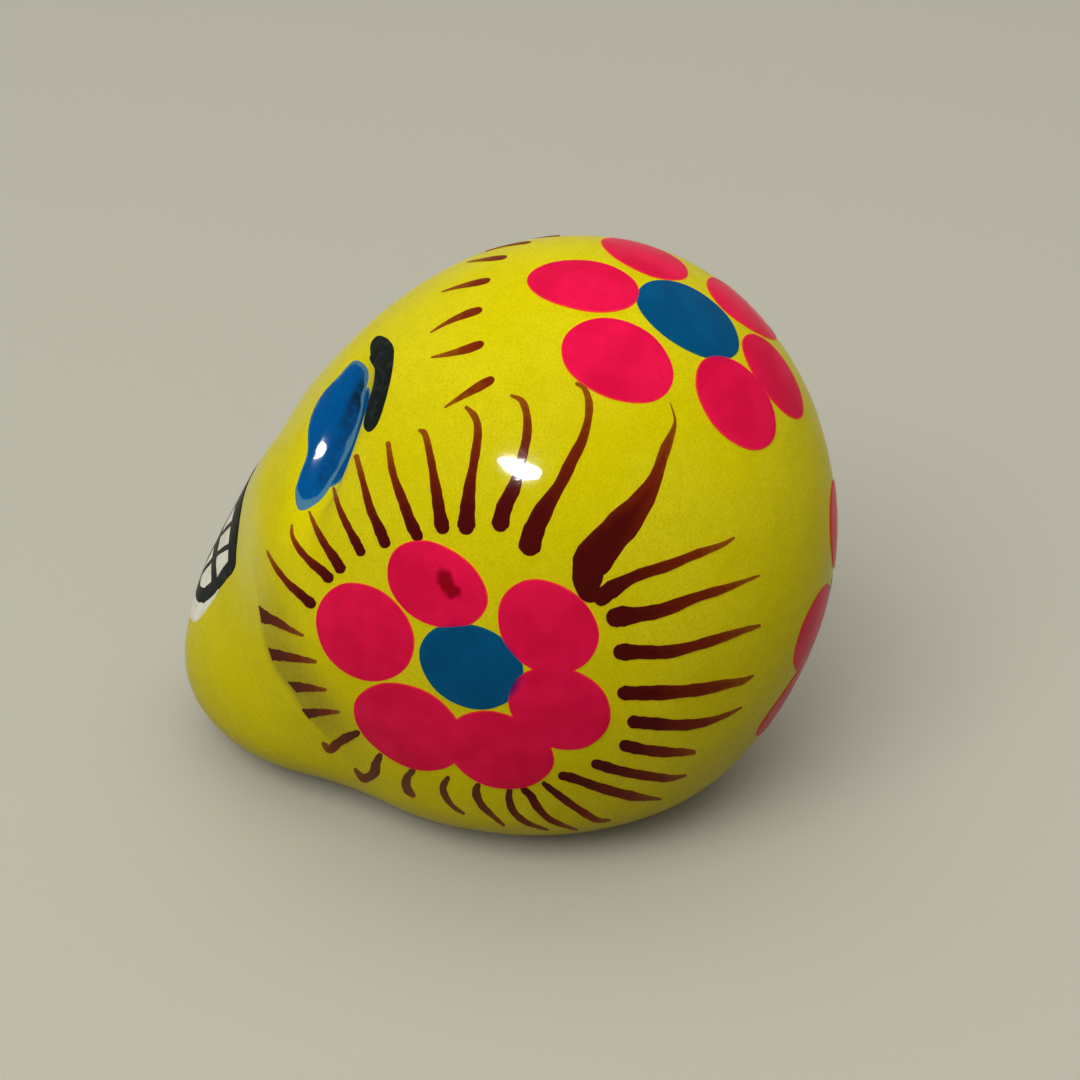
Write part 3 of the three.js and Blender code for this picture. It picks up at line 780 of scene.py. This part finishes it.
def make_shell():
    outside, inside = skin(OUTSIDE_COUNT, 0.0), skin(INSIDE_COUNT, -WALL)
    outside["faces"] = outward_faces(outside["points"], outside["faces"])
    inside["faces"] = [tuple(reversed(f)) for f in outward_faces(inside["points"], inside["faces"])]
    solid = plain_object("shell_blank", joined([outside, inside]))
    drill = plain_object("vent_drill", vent_drill())
    cut = solid.modifiers.new("vent", "BOOLEAN")
    cut.object, cut.operation, cut.solver = drill, "DIFFERENCE", "EXACT"
    mesh = bpy.data.meshes.new_from_object(solid.evaluated_get(bpy.context.evaluated_depsgraph_get()))
    for spare in (solid, drill):
        bpy.data.objects.remove(spare)
    mesh.name = "skull_shell"
    p = np.array([v.co for v in mesh.vertices]) / MM
    flat = side_chart.flat(np.abs(p) * (1, 0, 0) + p * (0, 1, 1))
    # Darker in the crease beside the jaw: partly pooled enamel, partly painted shade
    store(mesh, "pooled_and_shade", crease_pool_and_shade(flat))
    # Paler beside the mouth: partly thin enamel, partly a painted reflection
    store(mesh, "pale", pale_sheen_share(flat))
    store(mesh, "worn", np.clip(WORN_MOST - p[:, 2] * WORN_FALL, 0, WORN_MOST))
    mesh.materials.clear()
    mesh.materials.append(finishes["yellow_enamel"])
    mesh.materials.append(finishes["raw_clay"])
    centres = np.array([f.center for f in mesh.polygons]) / MM
    raw = (form(centres) < -BARE_DEPTH).astype(int)
    mesh.polygons.foreach_set("material_index", raw.tolist())
    mesh.polygons.foreach_set("use_smooth", [True] * len(mesh.polygons))
    mesh.set_sharp_from_angle(angle=math.radians(SHARP_ANGLE))
    shell = placed(mesh.name, mesh)
    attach(shell, "root")
    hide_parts("face_half", "back_half")


# Flowers: bearings and turns in degrees, with distance, length and width as shares of one daub's sizes
PETAL_OUT, PETAL_LONG, PETAL_WIDE = 10.0, 5.0, 4.0
CROWN_AIM, BACK_AIM = (3.7, 19.6, 54.6), (-5.5, 32, 21.5)
SIDE_SHARES = (
    (117, 0.82, 1.03, 0.97, -11),
    (35, 0.84, 0.99, 1.04, -44),
    (-24, 0.9, 1.03, 1.09, -50),
    (-75, 0.96, 1.03, 1.2, -30),
    (-127, 1.06, 1.14, 1.28, 8),
    (177, 1.09, 1.1, 1.23, 31),
    (0, 0.0, 1.02, 1.11, -3),
)
CROWN_SHARES = (
    (91, 1.03, 1.07, 0.9, 85),
    (148, 0.88, 1.09, 0.99, 86),
    (-124, 0.89, 1.03, 0.94, 86),
    (-81, 1.05, 0.99, 0.89, 87),
    (-32, 1.02, 1.09, 1.09, -42),
    (37, 0.98, 1.02, 1.0, 46),
    (0, 0.03, 1.09, 1.0, 86),
)
BACK_SHARES = (
    (173, 0.9, 1.06, 1.13, -60),
    (-140, 1.15, 1.0, 1.05, 40),
    (106, 0.98, 1.0, 0.97, -64),
    (55, 0.98, 1.0, 1.0, 50),
    (0, 1.0, 0.98, 1.02, 5),
    (-78, 1.0, 1.0, 0.98, -70),
    (0, 0.0, 1.0, 1.0, 0),
)
# Petals that ran into each other while wet, and so have no rim between them
SIDE_MERGED, CROWN_MERGED = (1, 2, 3, 4), (2, 3)
# Where a darker blotch fell on one petal
BLOTCH_PX = np.array(((444, 578), (448, 584), (453, 591)))
DAUB_THICKNESS, DAUB_LAYER, DAUB_SIDES = 0.1, 0.006, 72
FAR_OFF = 99.0
# How an oval pressed by a loaded brush strays from an ellipse, and strokes and lines from even width
OVAL_WAVES = ((0.012, 2, 1), (0.012, 3, 2.3), (0.004, 7, 1))
STROKE_WAVES = ((0.05, 31, 1), (0.04, 53, 2), (0.03, 83, 3))
LINE_WAVES = ((0.08, 13, 1), (0.05, 29, 2))


def daub_place(share):
    bearing, out = math.radians(share[0]), share[1] * PETAL_OUT
    return np.array((out * math.cos(bearing), out * math.sin(bearing)))


def daub_seed(i):
    return 1.7 * i + 0.6


def daub_outline(share, seed):
    t = np.linspace(0, 2 * math.pi, DAUB_SIDES, endpoint=False)
    x = share[2] * PETAL_LONG * np.cos(t) * wavering(t, OVAL_WAVES, seed)
    y = share[3] * PETAL_WIDE * np.sin(t) * wavering(t, OVAL_WAVES, seed)
    return daub_place(share) + np.stack(turned(x, y, -math.radians(share[4])), -1)


def outside_by(share, seed, flat):
    """How far flat points lie outside a daub's oval, in millimetres: negative inside."""
    q = flat - daub_place(share)
    q = np.stack(turned(q[:, 0], q[:, 1], math.radians(share[4])), -1)
    half = np.array((share[2] * PETAL_LONG, share[3] * PETAL_WIDE))
    t = np.arctan2(q[:, 1] / half[1], q[:, 0] / half[0])
    return unit_measure(q / wavering(t, OVAL_WAVES, seed)[:, None], half)


def make_flower(names, chart, shares, merged=(), blotches=()):
    """Petals and then the centre, for each name with the way that its body is turned."""
    last = len(shares) - 1
    for i, share in enumerate(shares):
        centre = i == last
        pattern = disc_pattern(daub_outline(share, daub_seed(i)), daub_place(share))
        layer = 0 if centre else 1 + (i * 2) % 5
        body = plate(pattern, chart.point(pattern["points"]), DAUB_THICKNESS + layer * DAUB_LAYER)
        flat = np.tile(pattern["points"], (2, 1))
        group = merged if i in merged else (i,)
        body["edge"] = np.max([-outside_by(shares[k], daub_seed(k), flat) for k in group], axis=0)
        far_off = np.full(len(flat), FAR_OFF)
        body["over_blue"] = far_off if centre else outside_by(shares[last], daub_seed(last), flat)
        spots = [np.linalg.norm(flat - spot, axis=1) for spot in blotches]
        body["blotch"] = np.min([*spots, far_off], axis=0)
        part = "centre" if centre else f"petal_{i + 1}"
        finish = "blue_enamel" if centre else "pink_enamel"
        for name, turn in names:
            make_piece(f"{name}_{part}_paint", turn(body), finish, [f"{name}_{part}"])


make_shell()
crown_chart = Chart(CROWN_AIM, (0, -1, 0))
blotches = side_chart.flat(seen_at(BLOTCH_PX))
side_names = [(f"{side}_side_flower", turn) for side, turn in SIDES]
make_flower(side_names, side_chart, SIDE_SHARES, SIDE_MERGED, blotches)
make_flower([("crown_flower", dict)], crown_chart, CROWN_SHARES, CROWN_MERGED)
make_flower([("back_flower", dict)], Chart(BACK_AIM), BACK_SHARES)

# Brush strokes round the side flower: x, y and width in pixels, from the blunt end to the tip
SIDE_STROKES_PX = (
    ((315, 607, 12), (307, 600, 11), (298, 592, 9.5), (288, 583, 7.5), (277, 569, 5.5), (269, 555, 3),
     (267, 550, 1)),
    ((332, 582, 12), (323, 572, 11), (312, 563, 9), (300, 550, 7), (292.5, 536, 4.5), (292, 524, 2)),
    ((343, 573, 13), (334.5, 558.5, 11), (325, 544.5, 8.5), (316, 527.5, 6), (309, 511, 2.5)),
    ((363, 556, 11), (356, 542, 10), (348, 527, 8), (339, 507, 6), (333.5, 487, 3)),
    ((387, 548, 13), (379, 528, 11.5), (370.5, 509, 9), (363.5, 483, 7), (356, 454, 5.5)),
    ((420, 541, 13), (411, 523, 13), (404, 504, 11), (393, 473, 8), (388, 441, 5)),
    ((445, 534, 16), (441, 521, 15), (435.5, 486, 11), (430.5, 457, 8), (425, 434, 7), (418, 430, 3.5)),
    ((466, 535, 18), (467, 515, 18), (470, 485, 12), (474, 462, 10), (478, 433, 9), (475, 417, 8),
     (465, 406, 4)),
    ((499, 532, 19), (504, 508, 18), (515, 485, 14), (523, 454, 10), (527, 435, 10), (527, 416, 9),
     (522, 401, 7), (510, 395, 3)),
    ((528, 556, 25), (533, 533, 24), (545, 508, 19), (561, 483, 14), (572, 460, 13), (582, 441, 11),
     (588, 420, 9), (589, 402, 8), (584, 388, 6), (575, 383, 4)),
    ((595, 602, 13), (588, 588, 28), (590, 565, 38), (607, 542, 40), (626, 521, 34), (643, 500, 24),
     (656, 477, 15), (664, 452, 12), (672, 433, 7), (675, 420, 3), (670, 402, 1)),
    ((596, 604, 18), (608, 592, 19), (636, 576, 13), (667, 566, 12), (694, 555, 10), (721, 545, 6),
     (735, 537, 2)),
    ((607, 622, 22), (618, 617, 22), (636, 615, 18), (663, 610, 15), (694, 598, 12), (723, 589, 9),
     (742, 582, 5), (760, 575, 2)),
    ((613, 652, 18), (621, 652, 18), (640, 652, 16), (667, 652, 14), (694, 646, 12), (723, 637, 10),
     (744, 630, 7), (761, 625, 3)),
    ((617, 692, 15), (625, 693, 15), (646, 693, 16), (675, 692, 15), (703, 689, 13), (726, 684, 11),
     (742, 681, 7), (754, 675, 2)),
    ((627, 721, 14), (635, 722, 14), (659, 724, 13), (682, 725, 12), (705, 722, 9), (726, 715, 5),
     (742, 707, 2)),
    ((619, 745, 13), (627, 746, 13), (646, 750, 12), (667, 752, 11), (684, 752, 8), (696, 752, 5)),
    ((591, 763, 10), (600, 765, 11), (617, 770, 11), (636, 774, 10), (656, 777, 10), (671, 778, 7),
     (687, 775, 2)),
    ((558, 775, 9), (573, 778, 10), (598, 787, 10), (623, 794, 11), (633, 796, 10), (648, 798, 6),
     (662, 799, 2)),
    ((542, 782, 5), (556, 793, 8), (571, 804, 8), (586, 814, 8), (598, 820, 6), (611, 820, 2)),
    ((521, 787, 6), (531, 796, 9), (536, 805, 9), (548, 818, 7), (563, 825, 5), (578, 830, 2)),
    ((510, 788, 6), (509, 799, 8), (514, 812, 8), (526, 822, 6), (539, 827, 4), (549, 830, 2)),
    ((479, 783, 6), (476, 792, 9), (481, 804, 8), (491, 814, 6), (505, 826, 3)),
    ((449, 776, 5), (443, 787, 8), (446, 797, 7), (454, 807, 5), (465, 814, 3)),
    ((415, 768, 6), (407, 778, 9), (407, 788, 10), (415, 797, 5)),
    ((381, 753, 6), (376, 764, 10), (374, 773, 11), (364, 778, 9), (354, 768, 3)),
    ((360, 732, 6), (348, 737, 10), (338, 743, 10), (330, 749, 10), (322, 742, 3)),
    ((305, 714, 12), (312, 713, 10), (325, 712, 7), (340, 712, 3)),
    ((292, 687, 12), (298, 687, 11), (310, 688, 8), (327, 690, 3)),
    ((270, 654, 13), (282, 656, 11), (300, 659, 8), (317, 662, 4)),
    ((260, 614, 15), (267, 618, 12.5), (276, 621.5, 10), (290, 629.5, 6.5), (304, 636, 3)),
)
# The last four are cut off at a slant by the crease beside the jaw
STROKE_SLANTS = {27: 0.6, 28: 0.87, 29: 0.57, 30: 0.87}
# How faded those low on the side are
STROKE_FADING = {21: 0.3, 22: 0.6, 23: 0.9, 24: 1.0, 25: 0.7, 26: 0.4, 27: 0.4, 28: 0.4, 29: 0.3, 30: 0.4}
STROKE_THICKNESS, STROKE_LAYER, STROKE_ROWS = 0.1, 0.004, 34


def make_side_strokes():
    for i, rows in enumerate(SIDE_STROKES_PX):
        seed = i + 1
        pattern = brushed(rows, STROKE_ROWS, STROKE_WAVES, seed, 1 / PX_PER_MM, STROKE_SLANTS.get(i))
        body = plate(pattern, seen_at(pattern["points"]), STROKE_THICKNESS + STROKE_LAYER * (seed % 3))
        body["faded"] = np.full(len(body["points"]), STROKE_FADING.get(i, 0.0))
        for side, turn in SIDES:
            make_piece(f"{side}_side_stroke_{seed}", turn(body), "brown_enamel")


make_side_strokes()

# A plain fringe of dashes in front of the crown flower
FRINGE_COUNT, FRINGE_SPREAD, FRINGE_BEND, FRINGE_ROWS = 7, 78, 0.05, 26
FRINGE_NEAR, FRINGE_FAR = 19.5, 25.0
FRINGE_WIDTHS = (1.0, 1.25, 0.95, 0.6, 0.25)


def make_fringe():
    for i in range(FRINGE_COUNT):
        bearing = math.radians(90 + FRINGE_SPREAD * (i / (FRINGE_COUNT - 1) - 0.5))
        t = np.linspace(0, 1, len(FRINGE_WIDTHS))
        out = between(FRINGE_NEAR, FRINGE_FAR, t)
        bend = bearing + FRINGE_BEND * math.sin(2.1 * i) * t * t
        rows = np.stack([out * np.cos(bend), out * np.sin(bend), FRINGE_WIDTHS], -1)
        line = even_ends(curve_through(rows, 40), FRINGE_ROWS)
        pattern = strip_pattern(line[:, :2], line[:, 2])
        body = plate(pattern, crown_chart.point(pattern["points"]), STROKE_THICKNESS)
        make_piece(f"forehead_dash_{i + 1}", body, "thin_brown_enamel")


make_fringe()

# Eyes: the painted outline of the left one, as the photograph shows it
EYE_PX = (
    (300, 511), (295, 494), (300, 474), (307, 454), (308, 431), (313, 411), (324, 392), (339, 376),
    (355, 360), (367, 367), (369, 378), (366, 390), (363, 414), (355, 438), (344, 462), (334, 481),
    (320, 501),
)
EYE_MIDDLE_PX = (331, 435)
EYE_THICKNESS, OUTLINE_STEPS, DEEP_STEPS = 0.08, 110, 50
EYE_SHARES = (0.1, 0.2, 0.3, 0.4, 0.5, 0.6, 0.7, 0.78, 0.85, 0.9, 0.94, 0.97, 0.99, 1)
# Places with the width of the thin rim there, and where the eye is darker navy, partly pooled paint and
# partly painted shade in the socket: radius and strength
EYE_RIM_PX = (
    (302, 503, 11), (327, 492, 8), (346, 462, 4), (362, 425, 3.5), (368, 385, 6), (354, 366, 4),
    (325, 393, 1.5),
    (308, 437, 1), (298, 482, 4),
)
EYE_POOL_AND_SHADE_PX = (
    (364, 384, 7, 0.6), (361, 394, 9, 1.0), (356, 406, 9, 0.9), (349, 422, 9, 0.55), (343, 438, 9, 0.4),
    (336, 458, 9, 0.3), (328, 474, 9, 0.5), (322, 482, 7, 0.35),
)
DEEP_FALL = (0.35, 1.5)
BROW_PX = (
    (370, 348.5), (371.5, 342.5), (375, 337.5), (380, 335.5), (386, 337.5), (391, 342), (394.3, 349),
    (393.8, 363), (391.4, 378), (387, 396), (381.8, 413), (377.5, 424), (373, 430), (368.3, 432.3),
    (364.3, 429), (363, 421), (366.5, 401), (370.8, 384), (372.8, 368), (373.2, 361.5), (370.8, 358.8),
    (367.8, 357), (370, 353.5),
)
BROW_MIDDLE_PX = (381, 380)
# The socket's outer wall, which the photograph hides, in the eye's own chart
EYE_WALL = (
    (0.1, 6.3), (1.4, 5.5), (2.6, 4.1), (3.4, 2.2), (3.7, 0.1), (3.4, -1.8), (2.3, -3.2), (1.3, -4.4),
    (0.9, -4.6), (0.75, -3.8), (0.45, -1.6), (0.15, 1.2), (-0.15, 3.7), (-0.8, 5.4), (-0.7, 6.3),
)
EYE_WALL_MIDDLE, EYE_WALL_THICKNESS, EYE_WALL_RIM, EYE_WALL_POOL_AND_SHADE = (1.5, 0.4), 0.06, 0.35, 0.3


def nearness(points, spots):
    """Distances in pixels from points to some spots, one column for each."""
    return np.linalg.norm(points[:, None] - np.array(spots, float)[None, :, :2], axis=2)


def outlined(outline, middle, thickness, shape=form):
    """Paint inside an outline given in pixels, laid on the clay, with its own places in pixels."""
    flat = disc_pattern(curve_through(outline, OUTLINE_STEPS, closed=True), middle, EYE_SHARES)
    pattern = dict(flat, edge=flat["edge"] / PX_PER_MM)
    base = eye_chart.point(eye_chart.flat(seen_at(flat["points"], shape)))
    return plate(pattern, base, thickness), pattern["edge"], flat["points"]


def eye_wall():
    """The blue paint on the socket's outer wall, a little lower than the paint that it meets."""
    pattern = disc_pattern(curve_through(EYE_WALL, OUTLINE_STEPS, closed=True), EYE_WALL_MIDDLE)
    wall = plate(pattern, eye_chart.point(pattern["points"]), EYE_WALL_THICKNESS)
    wall["thin"] = wall["edge"] - EYE_WALL_RIM
    # A little of the same darker navy all over the wall: partly pooled paint, partly painted shade
    wall["deep"] = np.full(len(wall["edge"]), EYE_WALL_POOL_AND_SHADE)
    return wall


def make_eyes():
    body, edge, places = outlined(EYE_PX, EYE_MIDDLE_PX, EYE_THICKNESS)
    weights = 1 / np.maximum(nearness(places, EYE_RIM_PX), 1) ** 3
    rim = weights @ np.array(EYE_RIM_PX)[:, 2] / weights.sum(axis=1) / PX_PER_MM
    body["thin"] = np.tile(edge - rim, 2)
    # Darker navy in the socket: partly pooled paint, partly painted shade
    band = curve_through(EYE_POOL_AND_SHADE_PX, DEEP_STEPS)
    fall = 1 - smooth_step(*DEEP_FALL, nearness(places, band) / band[:, 2])
    body["deep"] = np.tile((fall * band[:, 3]).max(axis=1), 2)
    body = joined([body, eye_wall()])
    brow = outlined(BROW_PX, BROW_MIDDLE_PX, STROKE_THICKNESS, smooth_form)[0]
    for side, turn in SIDES:
        make_piece(f"{side}_eye_paint", turn(body), "eye_enamel", [f"{side}_eye_enamel"])
        make_piece(f"{side}_brow_paint", turn(brow), "black_enamel", [f"{side}_brow"])


make_eyes()

# Nose: a rounded triangle with two lobes below
NOSE_HALF_WIDTH, NOSE_HALF_HEIGHT, NOSE_SIDES = 2.7, 3.1, 72
NOSE_TAPER, NOSE_NOTCH, NOSE_NOTCH_POWER = 0.3, 0.3, 8


def make_nose():
    t = np.linspace(0, 2 * math.pi, NOSE_SIDES, endpoint=False)
    notch = 1 - NOSE_NOTCH * np.maximum(0, -np.cos(t)) ** NOSE_NOTCH_POWER
    x = -np.sin(t) * NOSE_HALF_WIDTH * (1 - NOSE_TAPER * np.cos(t))
    pattern = disc_pattern(np.stack([x, np.cos(t) * NOSE_HALF_HEIGHT * notch], -1))
    body = plate(pattern, nose_chart.point(pattern["points"]), EYE_THICKNESS)
    make_piece("nose_paint", body, "black_enamel", ["nose_enamel"])


make_nose()

# Mouth: a band of painted teeth round the snout
MOUTH_CORE, MOUTH_AIM = (0, -14, 20), (0, -28.95, 22.3)
TOP_RISE, TOP_HALF, CORNER_DROP = 8.7, 13.5, 4.4
MIDDLE_RISE, MIDDLE_HALF, MIDDLE_DROP = 0.15, 10.4, 1.4
FLOOR_DROP, FLOOR_HALF, FLOOR_LIFT = 6.0, 7.6, 2.1
BOW_POWER, MIDDLE_POWER = 3, 1.1
LIP_WIDTH, SIDE_WIDTH, FLOOR_WIDTH, BAR_WIDTH, TOOTH_WIDTH = 3.1, 1.75, 1.4, 2.0, 0.76
SIDE_INSET, CORNER_OVERHANG = 0.4, 0.045
LIP_TAPER, LIP_TAPER_POWER = 0.25, 8
# Lines between teeth: how far out they start and end, as shares of the mouth's half width there
UPPER_LINES = ((0, 0), (0.33, 0.13), (0.61, 0.28), (0.82, 0.55))
LOWER_LINES = ((0, 0), (0.28, 0.15), (0.56, 0.3))
# Half of the outline of the white ground under the lines
GROUND_EDGE = (
    (0, 8.3), (3.5, 8.1), (6.5, 7.6), (9.2, 6.5), (11.2, 5.2), (12.2, 4.0), (12.1, 2.3), (11.6, 0.8),
    (11.2, -0.7), (10.8, -2.1), (9.9, -3.7), (9.0, -5.2), (7.6, -6.4), (5.3, -7.2), (2.6, -7.6),
    (0, -7.7),
)
GROUND_THICKNESS, GROUND_STEPS = 0.05, 160
LINE_THICKNESS, LINE_LAYER, LINE_ROWS = 0.09, 0.003, 44
ACROSS_STEPS = 11
mouth_chart = Chart(MOUTH_AIM, core=MOUTH_CORE)


def mouth_place(across, down):
    """A place in the mouth: across from -1 to 1, and down from 0 at the upper lip to 1 at the lower."""
    across, down = np.asarray(across, float), np.asarray(down, float)
    bow = np.abs(across) ** BOW_POWER
    upper, lower = TOP_RISE - CORNER_DROP * bow, FLOOR_LIFT * bow - FLOOR_DROP
    middle = MIDDLE_RISE - MIDDLE_DROP * np.abs(across) ** MIDDLE_POWER
    t = np.clip(2 * down, 0, 2)
    high = t < 1
    half = np.where(high, between(TOP_HALF, MIDDLE_HALF, t), between(MIDDLE_HALF, FLOOR_HALF, t - 1))
    rise = np.where(high, between(upper, middle, t), between(middle, lower, t - 1))
    return np.stack([across * half, rise], -1)


def drawn_line(places, widths, seed):
    rows = np.column_stack([places, np.broadcast_to(widths, len(places))])
    pattern = brushed(rows, LINE_ROWS, LINE_WAVES, seed)
    return plate(pattern, mouth_chart.point(pattern["points"]), LINE_THICKNESS + LINE_LAYER * (seed % 3))


def mouth_lines():
    """The net of teeth: a heavy lip, the border, the bar between the rows, and the lines between teeth."""
    upper_span, lower_span = 2 * TOP_RISE, 2 * FLOOR_DROP
    lip, floor = LIP_WIDTH / 2 / upper_span, 1 - FLOOR_WIDTH / 2 / lower_span
    side = 1 - SIDE_INSET / MIDDLE_HALF
    t = np.linspace(0, 1, ACROSS_STEPS)
    over = 2 * t - 1
    corner = over * (side + CORNER_OVERHANG)
    lip_widths = LIP_WIDTH * (1 - LIP_TAPER * over**LIP_TAPER_POWER)
    down = between(lip / 2, floor + CORNER_OVERHANG, t)
    borders = (
        (corner, lip, lip_widths, 0),
        (over * side, 0.5, BAR_WIDTH, 1),
        (corner, floor, FLOOR_WIDTH, 2),
        (-side, down, SIDE_WIDTH, 4),
        (side, down, SIDE_WIDTH, 4),
    )
    lines = []
    for across, level, widths, seed in borders:
        lines.append(drawn_line(mouth_place(*np.broadcast_arrays(across, level)), widths, seed))
    for rows, start, end in ((UPPER_LINES, lip, 0.5), (LOWER_LINES, 0.5, floor)):
        for i, (near, far) in enumerate(rows):
            for turn in (-1, 1) if near else (1,):
                first, last = mouth_place(turn * np.array((near, far)), np.array((start, end)))
                lines.append(drawn_line(between(first, last, t[:, None]), TOOTH_WIDTH, i))
    return joined(lines)


def make_mouth():
    half = np.array(GROUND_EDGE, float)
    other = half[-2:0:-1] * (-1, 1)
    pattern = disc_pattern(curve_through(np.vstack([half, other]), GROUND_STEPS, closed=True))
    ground = plate(pattern, mouth_chart.point(pattern["points"]), GROUND_THICKNESS)
    make_piece("teeth_ground_paint", ground, "white_enamel", ["teeth_ground"])
    make_piece("tooth_lines_paint", mouth_lines(), "black_enamel", ["tooth_lines"])


make_mouth()

# Floor, light and camera
# Lamps aimed at the skull: name, direction, distance, size, power, the light it's left out of, shape
LAMPS = (
    ("key", (0.64, -0.15, 0.754), 1100.0, (650.0, 650.0), 6.2, "glossy", "RECTANGLE"),
    ("glint", (0.839, -0.209, 0.502), 900.0, (205.0, 48.0), 150.0, "diffuse", "ELLIPSE"),
    ("overhead", (0, 0, 1), 1100.0, (1400.0, 1400.0), 6.1, "glossy", "RECTANGLE"),
)
ROOM_TINT, ROOM_LIGHT = (1.0, 0.985, 0.96, 1.0), 0.36
STAGE_SIZE, STAGE, STAGE_BOUNCE = 1000.0, (186, 183, 168), (112, 104, 84)


def make_stage():
    bpy.ops.mesh.primitive_plane_add(size=STAGE_SIZE * MM)
    floor = bpy.context.object
    floor.name = "floor"
    material = bpy.data.materials.new("pale_floor")
    material.use_nodes = True
    nodes = Nodes(material.node_tree)
    shader = nodes.tree.nodes["Principled BSDF"]
    shader.inputs["Specular IOR Level"].default_value = 0.0
    tint = nodes.mix(nodes.seen_or_mirrored(), STAGE_BOUNCE, STAGE)
    nodes.feed(shader.inputs["Base Color"], tint)
    floor.data.materials.append(material)


def add_lamp(name, direction, distance, size, power, left_out_of, shape):
    data = bpy.data.lights.new(name, "AREA")
    data.shape, data.energy = shape, power
    data.size, data.size_y = size[0] * MM, size[1] * MM
    lamp = placed(name, data)
    place = Vector(CAMERA_TARGET + np.array(direction) * distance)
    lamp.location = place * MM
    lamp.rotation_mode = "QUATERNION"
    lamp.rotation_quaternion = (Vector(CAMERA_TARGET) - place).to_track_quat("-Z", "Y")
    setattr(lamp, f"visible_{left_out_of}", False)


def make_world():
    """Soft room light, with the floor's colour where the room itself is seen or mirrored."""
    world = bpy.data.worlds.new("soft_room")
    world.use_nodes = True
    nodes = Nodes(world.node_tree)
    room = nodes.tree.nodes["Background"]
    room.inputs["Color"].default_value = ROOM_TINT
    room.inputs["Strength"].default_value = ROOM_LIGHT
    wall = nodes.node("ShaderNodeBackground")
    wall.inputs["Color"].default_value = linear(STAGE)
    choice = nodes.node("ShaderNodeMixShader")
    mixed = (nodes.seen_or_mirrored(), room.outputs["Background"], wall.outputs["Background"])
    for socket, value in zip(choice.inputs, mixed):
        nodes.feed(socket, value)
    nodes.feed(nodes.tree.nodes["World Output"].inputs["Surface"], choice.outputs["Shader"])
    bpy.context.scene.world = world


def make_camera():
    right, up, back = camera_axes()
    data = bpy.data.cameras.new("camera")
    data.sensor_width = SENSOR
    data.lens = FOCAL_PX / FRAME_PX * SENSOR
    data.clip_start, data.clip_end = CLIP_NEAR_M, CLIP_FAR_M
    camera = placed("camera", data)
    facing = Matrix((right, up, back)).transposed()
    camera.matrix_world = Matrix.Translation(Vector(camera_place()) * MM) @ facing.to_4x4()
    bpy.context.scene.camera = camera


make_stage()
make_world()
for lamp in LAMPS:
    add_lamp(*lamp)
make_camera()
bpy.context.scene.view_settings.view_transform = "Standard"
